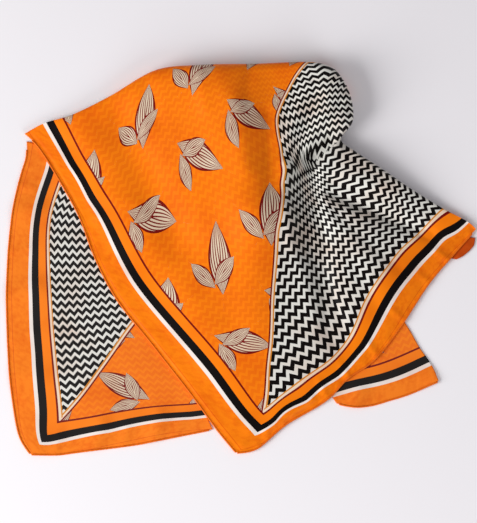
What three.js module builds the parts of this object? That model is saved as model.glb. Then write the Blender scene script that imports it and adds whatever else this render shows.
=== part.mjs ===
// Silk square scarf, folded once corner over corner and dropped softly on a flat surface.
// Units are millimetres, +Z is up, and the scarf rests on z = 0.
// The 900 mm square has four straight sides with a hand-rolled hem. In this fold the front
// stretch lies on top, its lower corner towards -Y. It turns over a soft roll along +Y. The
// rest of the square shows beneath it on the left and, turned under, on the right.

import * as THREE from 'three';

// Cloth and hems
const clothWall = 1.4;
const layerGap = 0.4;
const hemRadius = 1.3;
const hemSides = 6;
const hemGap = 0.7;
const hemStep = 14;

// Grid of the front stretch, used by the hidden layers too so that they nest
const frontColumns = 28;
const frontRows = 28;
const ridgeDensity = 1.35;

// Height of the front stretch above the surface, at its hems, and how fast it rises inwards
const frontHemHeight = clothWall * 2 + layerGap;
const hemRiseReach = 76;
const rollWidthShare = 0.75;
const lowestCrown = 9;

// How far the roll tucks in below its widest line, as rings down to the surface. The tuck
// starts from nothing at the two ends of the roll.
const tuckReach = 60;
const rollRings = [
  { heightShare: 0.22, tuck: 2 },
  { heightShare: 0, tuck: 7 },
];

// Hidden layers: their edge stands in from the hem and steps out one layer at a time
const hiddenInset = 2;
const hiddenGap = 1.3;
const hiddenTopDrop = 1.2;
const hiddenCentre = { x: 40, y: 60 };
const layerLedges = [
  { ledge: 0, heightShare: 0.62 },
  { ledge: 4, heightShare: 0.58 },
  { ledge: 4, heightShare: 0.3 },
  { ledge: 8, heightShare: 0.26 },
  { ledge: 8, heightShare: 0 },
];

// Left hem of the front stretch, from the lower corner up to the left shoulder
const frontLeftHem = [
  { x: -8, y: -276 },
  { x: -36, y: -242 },
  { x: -72, y: -193 },
  { x: -126, y: -124 },
  { x: -176, y: -60 },
  { x: -207, y: -1 },
  { x: -230, y: 58 },
  { x: -260, y: 112 },
  { x: -288, y: 156 },
  { x: -308, y: 176 },
];

// Right hem of the front stretch, from the lower corner to the right tip
const frontRightHem = [
  { x: -8, y: -276 },
  { x: 22, y: -269 },
  { x: 62, y: -236 },
  { x: 117, y: -203 },
  { x: 148, y: -172 },
  { x: 184, y: -147 },
  { x: 219, y: -104 },
  { x: 262, y: -39 },
  { x: 297, y: 2 },
  { x: 330, y: 39 },
];

// Rolled fold along the top, from the left shoulder to the loop's top, with the roll's height
const topRoll = [
  { x: -308, y: 176, height: 10.8 },
  { x: -279, y: 192, height: 14.4 },
  { x: -239, y: 204, height: 19.8 },
  { x: -186, y: 230, height: 27 },
  { x: -122, y: 266, height: 38 },
  { x: -58, y: 273, height: 40 },
  { x: 18, y: 275, height: 36 },
  { x: 97, y: 277, height: 41 },
  { x: 133, y: 266, height: 42 },
];

// Rolled fold from the right tip up to the notch and round the upper loop
const rightRoll = [
  { x: 330, y: 39, height: 8.0 },
  { x: 315, y: 51, height: 14.4 },
  { x: 280, y: 70, height: 18 },
  { x: 239, y: 95, height: 23 },
  { x: 195, y: 125, height: 29 },
  { x: 160, y: 148, height: 31 },
  { x: 140, y: 166, height: 31 },
  { x: 157, y: 194, height: 40 },
  { x: 151, y: 236, height: 45 },
  { x: 133, y: 266, height: 42 },
];

// Soft folds of the front stretch: a ridge where rise is positive, a trough where negative
const frontFolds = [
  { name: 'broad bulge', x0: -27, y0: 230, x1: 22, y1: 54, width: 47, rise: 11.7 },
  { name: 'bulge foot', x0: 18, y0: 54, x1: 18, y1: -117, width: 32, rise: 4.5 },
  { name: 'deep valley top', x0: 90, y0: 128, x1: 84, y1: 83, width: 17.1, rise: -22 },
  { name: 'deep valley middle', x0: 84, y0: 83, x1: 101, y1: 18, width: 19.8, rise: -17.1 },
  { name: 'deep valley foot', x0: 101, y0: 18, x1: 133, y1: -108, width: 22, rise: -8.1 },
  { name: 'overlap crease', x0: 134, y0: 168, x1: 95, y1: 133, width: 16, rise: -8 },
  { name: 'shallow valley', x0: 122, y0: 94, x1: 263, y1: 31, width: 15.3, rise: -6.3 },
  { name: 'right swell', x0: 148, y0: 36, x1: 216, y1: -54, width: 34, rise: 7.2 },
  { name: 'right shoulder', x0: 148, y0: 126, x1: 234, y1: 68, width: 19.8, rise: 4.5 },
  { name: 'upper loop', x0: 115, y0: 256, x1: 126, y1: 194, width: 23, rise: 6.3 },
  { name: 'left swell', x0: -234, y0: 176, x1: -148, y1: 18, width: 31, rise: 5.4 },
  { name: 'left hollow', x0: -176, y0: 194, x1: -86, y1: 18, width: 27, rise: -5.4 },
  { name: 'lower swell', x0: -86, y0: -54, x1: -9, y1: -180, width: 31, rise: 4.5 },
  { name: 'right hem trough', x0: 122, y0: -99, x1: 148, y1: -148, width: 18, rise: -3.6 },
];

// Left part of the lower stretch: the side hem, the bottom hem and the edge hidden above
const backSideHem = [
  { x: -292, y: -278 },
  { x: -309, y: -250 },
  { x: -319, y: -201 },
  { x: -325, y: -152 },
  { x: -329, y: -87 },
  { x: -330, y: -39 },
  { x: -328, y: 21 },
  { x: -322, y: 76 },
  { x: -313, y: 118 },
  { x: -306, y: 144 },
  { x: -306, y: 167 },
];
const backBottomHem = [
  { x: -292, y: -278 },
  { x: -255, y: -278 },
  { x: -231, y: -275 },
  { x: -183, y: -269 },
  { x: -140, y: -263 },
  { x: -90, y: -253 },
  { x: -40, y: -243 },
];
const tuckUnderFront = 12;
const backFolds = [
  { name: 'corner lift', x0: -286, y0: -270, x1: -286, y1: -270, width: 23, rise: 2.7 },
  { name: 'bottom wave one', x0: -207, y0: -279, x1: -194, y1: -236, width: 13.5, rise: 2.2 },
  { name: 'bottom wave two', x0: -126, y0: -270, x1: -112, y1: -225, width: 12.6, rise: 2.7 },
  { name: 'side wave one', x0: -335, y0: -54, x1: -290, y1: -43, width: 18, rise: 2.7 },
  { name: 'side wave two', x0: -331, y0: 63, x1: -288, y1: 70, width: 16.2, rise: 2.7 },
  { name: 'side wave three', x0: -326, y0: -171, x1: -286, y1: -162, width: 16.2, rise: 1.8 },
];

// Right part of the lower stretch: its turned-under edge and its hem
const backTurnedEdge = [
  { x: 225, y: -88 },
  { x: 236, y: -106 },
  { x: 248, y: -128 },
  { x: 264, y: -152 },
  { x: 274, y: -176 },
];
const backRightHem = [
  { x: 274, y: -176 },
  { x: 232, y: -194 },
  { x: 203, y: -203 },
  { x: 183, y: -209 },
  { x: 163, y: -212 },
  { x: 148, y: -211 },
  { x: 131, y: -207 },
];
const rightFolds = [
  { name: 'curl', x0: 155, y0: -216, x1: 162, y1: -189, width: 14.4, rise: 2.7 },
  { name: 'point lift', x0: 268, y0: -171, x1: 268, y1: -171, width: 16.2, rise: 1.8 },
];

// Corner turned back under the right tip
const turnedCornerOuter = [
  { x: 328, y: 28 },
  { x: 325, y: 16 },
  { x: 312, y: 3 },
  { x: 301, y: -3 },
];

const colours = {
  silkOrange: 0xf97b14,
  silkBack: 0xf58226,
  silkShade: 0xc9480d,
  hemThread: 0xe8660f,
};

// A smooth open curve through the rows of a table, with any named columns carried along it
function tableCurve(rows, columns = ['x', 'y']) {
  const count = rows.length - 1;
  const chord = [0];
  rows.slice(1).forEach((row, i) => {
    chord.push(chord[i] + Math.hypot(row.x - rows[i].x, row.y - rows[i].y));
  });
  const total = chord[count];
  return (t) => {
    const along = THREE.MathUtils.clamp(t, 0, 1) * total;
    let i = 0;
    while (i < count - 1 && chord[i + 1] < along) i += 1;
    const f = (along - chord[i]) / (chord[i + 1] - chord[i]);
    const pick = (k) => rows[THREE.MathUtils.clamp(k, 0, count)];
    const point = {};
    for (const c of columns) {
      const slopeIn = (pick(i + 1)[c] - pick(i - 1)[c]) / 2;
      const slopeOut = (pick(i + 2)[c] - pick(i)[c]) / 2;
      const rise = pick(i + 1)[c] - pick(i)[c];
      const bend = 3 * rise - 2 * slopeIn - slopeOut;
      const settle = slopeIn + slopeOut - 2 * rise;
      point[c] = pick(i)[c] + f * (slopeIn + f * (bend + f * settle));
    }
    return point;
  };
}

// The point of a four-sided patch: left and right run along b, bottom and top along a
function patchPoint(sides, a, b) {
  const { left, right, bottom, top } = sides;
  const blend = (c) => {
    const across = (1 - a) * left(b)[c] + a * right(b)[c];
    const along = (1 - b) * bottom(a)[c] + b * top(a)[c];
    const low = (1 - a) * bottom(0)[c] + a * bottom(1)[c];
    const high = (1 - a) * top(0)[c] + a * top(1)[c];
    return across + along - (1 - b) * low - b * high;
  };
  return { x: blend('x'), y: blend('y') };
}

// Height that a list of soft folds adds at a point
function foldHeight(folds, x, y) {
  let height = 0;
  for (const fold of folds) {
    const runX = fold.x1 - fold.x0;
    const runY = fold.y1 - fold.y0;
    const square = runX * runX + runY * runY;
    const across = (x - fold.x0) * runX + (y - fold.y0) * runY;
    const t = square > 0 ? THREE.MathUtils.clamp(across / square, 0, 1) : 0;
    const away = Math.hypot(x - fold.x0 - t * runX, y - fold.y0 - t * runY);
    height += fold.rise * Math.exp(-((away / fold.width) ** 2));
  }
  return height;
}

// A curve moved sideways in plan by a distance, to the right of its direction if positive
function shifted(curve, distance) {
  const step = 0.01;
  return (t) => {
    const before = curve(t - step);
    const after = curve(t + step);
    const length = Math.hypot(after.x - before.x, after.y - before.y);
    const point = curve(t);
    const x = point.x + (distance * (after.y - before.y)) / length;
    const y = point.y - (distance * (after.x - before.x)) / length;
    return { ...point, x, y };
  };
}

const leftHemLine = tableCurve(frontLeftHem);
const rightHemLine = tableCurve(frontRightHem);
const topRollLine = tableCurve(topRoll, ['x', 'y', 'height']);
const rightRollLine = tableCurve(rightRoll, ['x', 'y', 'height']);
const wallSetBack = hemRadius * 2 + hemGap;

// The same curve with its start moved onto a corner, eased out along the share given
function startingAt(curve, corner, share) {
  return (t) => {
    const point = curve(t);
    const start = curve(0);
    const pull = Math.max(0, 1 - t / share);
    const x = point.x + (corner.x - start.x) * pull;
    const y = point.y + (corner.y - start.y) * pull;
    return { ...point, x, y };
  };
}

// The front stretch's plan, set back from the hem tubes on its two hemmed sides
function frontSides() {
  const corner = { x: frontLeftHem[0].x + 1, y: frontLeftHem[0].y + wallSetBack * 1.45 };
  const left = startingAt(shifted(leftHemLine, wallSetBack), corner, 0.07);
  const bottom = startingAt(shifted(rightHemLine, -wallSetBack), corner, 0.07);
  return {
    left,
    bottom,
    top: startingAt(topRollLine, left(1), 0.1),
    right: startingAt(rightRollLine, bottom(1), 0.1),
  };
}

// Height of the front stretch's outer face over the surface
function frontHeight(sides, a, b, place) {
  const across = 560;
  const fromLeft = a * across;
  const fromRight = b * across;
  const fromTop = (1 - b) * across;
  const fromRightRoll = (1 - a) * across;
  const topHeight = sides.top(a).height;
  const rightHeight = sides.right(b).height;
  const topShare = b * b + 0.02;
  const rightShare = a * a + 0.02;
  const crown = (topHeight * topShare + rightHeight * rightShare) / (topShare + rightShare);
  const rise = (1 - Math.exp(-fromLeft / hemRiseReach)) * (1 - Math.exp(-fromRight / hemRiseReach));
  const folds = foldHeight(frontFolds, place.x, place.y) * rise;
  const inner = frontHemHeight + (crown * 0.8 - frontHemHeight) * rise + folds;
  const floorHeight = frontHemHeight + (lowestCrown - frontHemHeight) * rise;
  const lifted = Math.max(inner, floorHeight);
  const rounding = (distance, height) => {
    const near = Math.min(distance / (height * rollWidthShare), 1);
    return Math.sqrt(1 - (1 - near) ** 2);
  };
  const roundTop = rounding(fromTop, topHeight);
  const roundRight = rounding(fromRightRoll, rightHeight);
  const edgeHeight = Math.max(crown / 2, frontHemHeight);
  return edgeHeight + (lifted - edgeHeight) * roundTop * roundRight;
}

function denseToRidge(t) {
  return 1 - (1 - t) ** ridgeDensity;
}

// Outer face of the front stretch as points and quads: a grid, then the roll's lower rings
function frontFace() {
  const sides = frontSides();
  const points = [];
  const quads = [];
  const at = (i, j) => j * (frontColumns + 1) + i;
  for (let j = 0; j <= frontRows; j += 1) {
    for (let i = 0; i <= frontColumns; i += 1) {
      const a = denseToRidge(i / frontColumns);
      const b = denseToRidge(j / frontRows);
      const place = patchPoint(sides, a, b);
      const height = frontHeight(sides, a, b, place);
      points.push(new THREE.Vector3(place.x, place.y, height));
    }
  }
  for (let j = 0; j < frontRows; j += 1) {
    for (let i = 0; i < frontColumns; i += 1) {
      quads.push([at(i, j), at(i + 1, j), at(i + 1, j + 1), at(i, j + 1)]);
    }
  }
  const rim = [];
  for (let i = 0; i <= frontColumns; i += 1) rim.push(at(i, frontRows));
  for (let j = frontRows - 1; j >= 0; j -= 1) rim.push(at(frontColumns, j));
  let upper = rim;
  for (const ring of rollRings) {
    const lower = rim.map((index, k) => {
      const before = points[rim[Math.max(k - 1, 0)]];
      const after = points[rim[Math.min(k + 1, rim.length - 1)]];
      const inward = new THREE.Vector3(after.y - before.y, before.x - after.x, 0).normalize();
      const fromStart = points[index].distanceTo(points[rim[0]]);
      const fromEnd = points[index].distanceTo(points[rim.at(-1)]);
      const share = Math.min(1, Math.min(fromStart, fromEnd) / tuckReach);
      const point = points[index].clone().addScaledVector(inward, ring.tuck * share);
      point.z = points[index].z * ring.heightShare;
      points.push(point);
      return points.length - 1;
    });
    for (let k = 0; k < rim.length - 1; k += 1) {
      quads.push([upper[k], upper[k + 1], lower[k + 1], lower[k]]);
    }
    upper = lower;
  }
  return { points, quads, at, rim };
}

// Unit normals at the points of a face made of quads
function faceNormals(points, quads) {
  const normals = points.map(() => new THREE.Vector3());
  for (const quad of quads) {
    const [p, q, r, s] = quad.map((index) => points[index]);
    const normal = r.clone().sub(p).cross(s.clone().sub(q));
    quad.forEach((index) => normals[index].add(normal));
  }
  return normals.map((normal) => normal.normalize());
}

// Edges that only one quad uses, in that quad's direction
function openEdges(quads) {
  const used = new Map();
  for (const quad of quads) {
    quad.forEach((from, k) => {
      const to = quad[(k + 1) % quad.length];
      used.set(`${from},${to}`, [from, to]);
    });
  }
  return [...used.values()].filter(([from, to]) => !used.has(`${to},${from}`));
}

// Splits quads into triangles along the shorter diagonal
function trianglesOf(points, quads) {
  const triangles = [];
  for (const [p, q, r, s] of quads) {
    const shortFirst = points[p].distanceTo(points[r]) <= points[q].distanceTo(points[s]);
    if (shortFirst) triangles.push([p, q, r], [p, r, s]);
    else triangles.push([p, q, s], [q, r, s]);
  }
  return triangles;
}

function geometryOf(points, triangles) {
  const geometry = new THREE.BufferGeometry();
  geometry.setFromPoints(points);
  geometry.setIndex(triangles.flat());
  geometry.computeVertexNormals();
  return geometry;
}

// A wall of cloth: the outer face, the same face moved in by the wall, and the rim between
function wallOf(outer, quads, inset) {
  const count = outer.length;
  const inner = inset(outer);
  const points = [...outer, ...inner];
  const triangles = trianglesOf(outer, quads);
  const back = triangles.map(([p, q, r]) => [p + count, r + count, q + count]);
  const rim = openEdges(quads).flatMap(([from, to]) => [
    [to, from, from + count],
    [to, from + count, to + count],
  ]);
  return geometryOf(points, [...triangles, ...back, ...rim]);
}

// Points of a face moved in along its normals, never below the surface the scarf rests on
function movedIn(points, normals, distance, lowest = 0) {
  return points.map((point, k) => {
    const moved = point.clone().addScaledVector(normals[k], -distance);
    moved.z = Math.max(moved.z, lowest);
    return moved;
  });
}

function frontCloth() {
  const face = frontFace();
  const normals = faceNormals(face.points, face.quads);
  return wallOf(face.points, face.quads, (outer) => movedIn(outer, normals, clothWall));
}

// All layers that the front stretch hides, as one rounded solid with stepped edges
function innerFolds() {
  const face = frontFace();
  const normals = faceNormals(face.points, face.quads);
  const nested = movedIn(face.points, normals, clothWall + hiddenGap);
  const columns = frontColumns + 1;
  const gridCount = columns * (frontRows + 1);
  const points = [];
  const kept = new Map();
  const keep = (index) => {
    if (!kept.has(index)) {
      kept.set(index, points.length);
      points.push(nested[index].clone());
    }
    return kept.get(index);
  };
  const insideHem = (index) => {
    if (index < gridCount) return index % columns >= hiddenInset && index >= columns * hiddenInset;
    const k = (index - gridCount) % face.rim.length;
    return k >= hiddenInset && k <= face.rim.length - 1 - hiddenInset;
  };
  const quads = face.quads.filter((quad) => quad.every(insideHem)).map((quad) => quad.map(keep));
  const edges = new Map(openEdges(quads));
  const bottomEdge = [];
  const start = [...edges.keys()][0];
  let index = start;
  do {
    bottomEdge.push(index);
    index = edges.get(index);
  } while (index !== start);
  const lastRing = gridCount + face.rim.length * (rollRings.length - 1);
  const keptFrom = (test) => new Set([...kept].filter(([from]) => test(from)).map(([, to]) => to));
  const feet = keptFrom((from) => from >= lastRing);
  const rollEnd = keptFrom((from) => from < lastRing && (from >= gridCount || face.rim.includes(from)));
  const count = bottomEdge.length;
  const footPlace = (n) => {
    const isFoot = (m) => feet.has(bottomEdge[(m + count) % count]);
    let step = 1;
    while (!isFoot(n + step) && !isFoot(n - step)) step += 1;
    return (isFoot(n + step) ? n + step : n - step + count) % count;
  };
  let upper = bottomEdge;
  for (const row of layerLedges) {
    const isLast = row === layerLedges.at(-1);
    const lower = bottomEdge.map((k, n) => {
      if (rollEnd.has(k) || (feet.has(k) && !isLast)) return k;
      const before = points[bottomEdge[(n + count - 1) % count]];
      const after = points[bottomEdge[(n + 1) % count]];
      const outward = new THREE.Vector3(after.y - before.y, before.x - after.x, 0).normalize();
      const point = points[k].clone().addScaledVector(outward, feet.has(k) ? 0 : row.ledge);
      point.z = (points[k].z - hiddenTopDrop) * row.heightShare;
      points.push(point);
      return points.length - 1;
    });
    if (isLast) {
      bottomEdge.forEach((k, n) => {
        if (rollEnd.has(k)) lower[n] = lower[footPlace(n)];
      });
    }
    bottomEdge.forEach((k, n) => {
      const m = (n + 1) % count;
      const ring = [upper[m], upper[n], lower[n], lower[m]];
      const distinct = [...new Set(ring)];
      if (distinct.length > 2) quads.push(distinct);
    });
    upper = lower;
  }
  const wall = quads.flatMap((quad) => {
    if (quad.length === 3) return [quad];
    return trianglesOf(points, [quad]);
  });
  const middleOfBase = points.push(new THREE.Vector3(hiddenCentre.x, hiddenCentre.y, 0)) - 1;
  const foot = upper.filter((k, n) => k !== upper[(n + 1) % count]);
  const base = foot.map((k, n) => [foot[(n + 1) % foot.length], k, middleOfBase]);
  return geometryOf(points, [...base, ...wall]);
}

// A flat-lying stretch of cloth on the surface, lifted a little where a fold runs
function lyingCloth(sides, columns, rows, folds, base) {
  const points = [];
  const quads = [];
  for (let j = 0; j <= rows; j += 1) {
    for (let i = 0; i <= columns; i += 1) {
      const place = patchPoint(sides, i / columns, j / rows);
      const height = base + clothWall + foldHeight(folds, place.x, place.y);
      points.push(new THREE.Vector3(place.x, place.y, height));
    }
  }
  for (let j = 0; j < rows; j += 1) {
    for (let i = 0; i < columns; i += 1) {
      const k = j * (columns + 1) + i;
      quads.push([k, k + 1, k + columns + 2, k + columns + 1]);
    }
  }
  const below = (outer) => outer.map((p) => new THREE.Vector3(p.x, p.y, p.z - clothWall));
  return wallOf(points, quads, below);
}

// A straight-line mix of two places, as the edge of a patch
function lineBetween(from, to) {
  return (t) => ({ x: from.x + (to.x - from.x) * t, y: from.y + (to.y - from.y) * t });
}

// Part of a curve between two shares of its length
function partOf(curve, from, to) {
  return (t) => curve(from + (to - from) * t);
}

function backClothLeft() {
  const side = shifted(tableCurve(backSideHem), wallSetBack);
  const bottom = shifted(tableCurve(backBottomHem), -wallSetBack);
  const corner = { x: side(0).x, y: bottom(0).y };
  const hidden = partOf(shifted(leftHemLine, tuckUnderFront), 0.12, 0.94);
  const left = startingAt(side, corner, 0.08);
  const low = startingAt(bottom, corner, 0.08);
  const sides = {
    left,
    bottom: low,
    right: startingAt(hidden, low(1), 0.12),
    top: lineBetween(left(1), hidden(1)),
  };
  return lyingCloth(sides, 12, 20, backFolds, 0);
}

// The same curve run from its other end
function reversed(curve) {
  return (t) => curve(1 - t);
}

function backClothRight() {
  const point = backRightHem[0];
  const corner = { x: point.x - wallSetBack * 0.6, y: point.y + wallSetBack * 1.3 };
  const hem = startingAt(shifted(tableCurve(backRightHem), wallSetBack), corner, 0.1);
  const edge = startingAt(reversed(tableCurve(backTurnedEdge)), corner, 0.3);
  const hidden = partOf(shifted(rightHemLine, -tuckUnderFront), 0.335, 0.62);
  const sides = {
    left: lineBetween(hem(1), hidden(0)),
    bottom: reversed(hem),
    right: edge,
    top: reversed(startingAt(reversed(hidden), edge(1), 0.5)),
  };
  return lyingCloth(sides, 20, 7, rightFolds, 0);
}

function turnedCorner() {
  const outer = tableCurve(turnedCornerOuter);
  const inner = partOf(shifted(rightHemLine, -tuckUnderFront), 0.87, 0.945);
  const sides = {
    left: lineBetween(inner(0), outer(1)),
    right: lineBetween(inner(1), outer(0)),
    bottom: inner,
    top: reversed(outer),
  };
  const flipped = {
    left: reversed(sides.left),
    right: reversed(sides.right),
    bottom: sides.top,
    top: sides.bottom,
  };
  return lyingCloth(flipped, 5, 4, [], 0);
}

// A rolled hem: a thin round tube along a table's line, its centre in from the cut edge
function rolledHem(line, from, to, heightAt) {
  const points = [];
  const triangles = [];
  let length = 0;
  const fine = 60;
  for (let k = 0; k < fine; k += 1) {
    const p = line(from + ((to - from) * k) / fine);
    const q = line(from + ((to - from) * (k + 1)) / fine);
    length += Math.hypot(q.x - p.x, q.y - p.y);
  }
  const steps = Math.max(3, Math.round(length / hemStep));
  const nudge = 0.004;
  for (let k = 0; k <= steps; k += 1) {
    const t = from + ((to - from) * k) / steps;
    const centre = line(t);
    const before = line(Math.max(t - nudge, from));
    const after = line(Math.min(t + nudge, to));
    const side = new THREE.Vector3(after.y - before.y, before.x - after.x, 0).normalize();
    for (let n = 0; n < hemSides; n += 1) {
      const angle = ((n + 0.5) / hemSides) * Math.PI * 2;
      const point = new THREE.Vector3(centre.x, centre.y, heightAt(t, centre));
      point.addScaledVector(side, Math.cos(angle) * hemRadius);
      point.z += Math.sin(angle) * hemRadius;
      points.push(point);
    }
  }
  for (let k = 0; k < steps; k += 1) {
    for (let n = 0; n < hemSides; n += 1) {
      const m = (n + 1) % hemSides;
      const base = k * hemSides;
      const next = base + hemSides;
      triangles.push([base + n, next + m, base + m], [base + n, next + n, next + m]);
    }
  }
  const last = steps * hemSides;
  for (let n = 1; n < hemSides - 1; n += 1) {
    triangles.push([0, n, n + 1], [last, last + n + 1, last + n]);
  }
  return geometryOf(points, triangles);
}

function solid(name, geometry, colour, roughness = 0.42) {
  const mesh = new THREE.Mesh(
    geometry,
    new THREE.MeshStandardMaterial({ color: colour, roughness, metalness: 0 }),
  );
  mesh.name = name;
  return mesh;
}

// Height of a front hem's centre: it follows the front stretch's edge
function frontHemCentre(side) {
  const sides = frontSides();
  return (t) => {
    const place = side === 'left' ? sides.left(t) : sides.bottom(t);
    const a = side === 'left' ? 0 : t;
    const b = side === 'left' ? t : 0;
    return frontHeight(sides, a, b, place) - frontHemHeight + clothWall + layerGap + hemRadius;
  };
}

const scarf = new THREE.Group();
const leftHemCentre = shifted(leftHemLine, hemRadius);
const rightHemCentre = shifted(rightHemLine, -hemRadius);
const backSideCentre = shifted(tableCurve(backSideHem), hemRadius);
const backBottomCentre = shifted(tableCurve(backBottomHem), -hemRadius);
const backRightCentre = shifted(tableCurve(backRightHem), hemRadius);
const lyingHem = (folds) => (t, centre) => hemRadius + foldHeight(folds, centre.x, centre.y);

scarf.add(solid('front_cloth', frontCloth(), colours.silkOrange));
scarf.add(solid('inner_folds', innerFolds(), colours.silkShade));
scarf.add(solid('back_cloth_left', backClothLeft(), colours.silkBack));
scarf.add(solid('back_cloth_right', backClothRight(), colours.silkBack));
scarf.add(solid('turned_corner', turnedCorner(), colours.silkShade));
scarf.add(solid(
  'hem_front_left',
  rolledHem(leftHemCentre, 0.006, 0.97, frontHemCentre('left')),
  colours.hemThread,
));
scarf.add(solid(
  'hem_front_right',
  rolledHem(rightHemCentre, 0.006, 0.975, frontHemCentre('right')),
  colours.hemThread,
));
scarf.add(solid(
  'hem_back_left',
  rolledHem(backSideCentre, 0.008, 0.97, lyingHem(backFolds)),
  colours.hemThread,
));
scarf.add(solid(
  'hem_back_bottom',
  rolledHem(backBottomCentre, 0.012, 0.97, lyingHem(backFolds)),
  colours.hemThread,
));
scarf.add(solid(
  'hem_back_right',
  rolledHem(backRightCentre, 0.02, 0.97, lyingHem(rightFolds)),
  colours.hemThread,
));

const middle = new THREE.Box3().setFromObject(scarf).getCenter(new THREE.Vector3());
scarf.position.set(-middle.x, -middle.y, 0);

export default scarf;
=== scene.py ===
"""Silk square scarf, folded corner over corner and dropped softly on a pale floor.

The scarf is a 900 mm printed silk twill square with a hand-rolled hem. Each stretch of cloth
that shows is a thin shell on the form of its CAD solid, with the print laid on in the cloth's
own coordinates: u and v are the distances in millimetres from two neighbouring hems. Plan
tables are in millimetres, as in the part's source, and meshes are made in metres.
"""

import logging
import math
from dataclasses import dataclass, field
from enum import Enum
from typing import Callable, NamedTuple, Sequence

import bpy
import numpy as np
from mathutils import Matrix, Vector


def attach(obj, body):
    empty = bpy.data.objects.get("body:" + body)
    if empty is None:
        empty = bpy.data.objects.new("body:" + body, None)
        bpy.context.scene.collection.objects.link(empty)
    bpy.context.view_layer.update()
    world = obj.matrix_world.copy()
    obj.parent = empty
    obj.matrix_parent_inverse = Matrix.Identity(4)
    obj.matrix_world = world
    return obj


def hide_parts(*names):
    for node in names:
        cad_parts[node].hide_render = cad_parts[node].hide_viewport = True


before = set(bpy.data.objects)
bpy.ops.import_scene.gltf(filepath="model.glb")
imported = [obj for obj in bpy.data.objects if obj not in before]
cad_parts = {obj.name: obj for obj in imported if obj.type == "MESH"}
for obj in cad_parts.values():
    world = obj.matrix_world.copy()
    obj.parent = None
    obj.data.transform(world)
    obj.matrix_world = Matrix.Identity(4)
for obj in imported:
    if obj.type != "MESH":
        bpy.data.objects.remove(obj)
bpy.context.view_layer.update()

LOG = logging.getLogger("silk_scarf")

MM = 0.001
SQUARE_SIDE = 900.0
# How far the plan moves when the whole part is centred
PLAN_SHIFT_X = 0.92
PLAN_SHIFT_Y = 0.29
HEM_RADIUS = 1.3
CLOTH_WALL = 1.4
LAYER_GAP = 0.4
FRONT_HEM_HEIGHT = CLOTH_WALL * 2 + LAYER_GAP
# How far a shell's edge stands in from its hem's outer line
SHELL_SET_BACK = 1.5
SHELL_WALL = 0.6
CLOTH_UV = "cloth"


class Plan(NamedTuple):
    """A place in plan, in millimetres."""

    x: float
    y: float


class Roll(NamedTuple):
    """A place on a rolled fold in plan, with the roll's height, in millimetres."""

    x: float
    y: float
    height: float


class Fold(NamedTuple):
    """A soft ridge, or a trough where rise is negative, between two places in plan."""

    x0: float
    y0: float
    x1: float
    y1: float
    width: float
    rise: float


class Mark(NamedTuple):
    """A place in plan and the place of the cloth's print that lies there, in millimetres."""

    x: float
    y: float
    u: float
    v: float


FRONT_LEFT_HEM = (
    Plan(-8, -276), Plan(-36, -242), Plan(-72, -193), Plan(-126, -124), Plan(-176, -60),
    Plan(-207, -1), Plan(-230, 58), Plan(-260, 112), Plan(-288, 156), Plan(-308, 176),
)
FRONT_RIGHT_HEM = (
    Plan(-8, -276), Plan(22, -269), Plan(62, -236), Plan(117, -203), Plan(148, -172),
    Plan(184, -147), Plan(219, -104), Plan(262, -39), Plan(297, 2), Plan(330, 39),
)
TOP_ROLL = (
    Roll(-308, 176, 10.8), Roll(-279, 192, 14.4), Roll(-239, 204, 19.8),
    Roll(-186, 230, 27), Roll(-122, 266, 38), Roll(-58, 273, 40),
    Roll(18, 275, 36), Roll(97, 277, 41), Roll(133, 266, 42),
)
RIGHT_ROLL = (
    Roll(330, 39, 8), Roll(315, 51, 14.4), Roll(280, 70, 18), Roll(239, 95, 23),
    Roll(195, 125, 29), Roll(160, 148, 31), Roll(140, 166, 31), Roll(157, 194, 40),
    Roll(151, 236, 45), Roll(133, 266, 42),
)
FRONT_FOLDS = (
    # The broad bulge and its foot
    Fold(-27, 230, 22, 54, 47, 11.7), Fold(18, 54, 18, -117, 32, 4.5),
    # The deep valley from top to foot, and the crease where the loop overlaps
    Fold(90, 128, 84, 83, 17.1, -22), Fold(84, 83, 101, 18, 19.8, -17.1),
    Fold(101, 18, 133, -108, 22, -8.1), Fold(134, 168, 95, 133, 16, -8),
    # On the right a shallow valley, a swell and a shoulder, and the upper loop
    Fold(122, 94, 263, 31, 15.3, -6.3), Fold(148, 36, 216, -54, 34, 7.2),
    Fold(148, 126, 234, 68, 19.8, 4.5), Fold(115, 256, 126, 194, 23, 6.3),
    # On the left a swell, a hollow and a lower swell, and the trough in the right hem
    Fold(-234, 176, -148, 18, 31, 5.4), Fold(-176, 194, -86, 18, 27, -5.4),
    Fold(-86, -54, -9, -180, 31, 4.5), Fold(122, -99, 148, -148, 18, -3.6),
)
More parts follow.
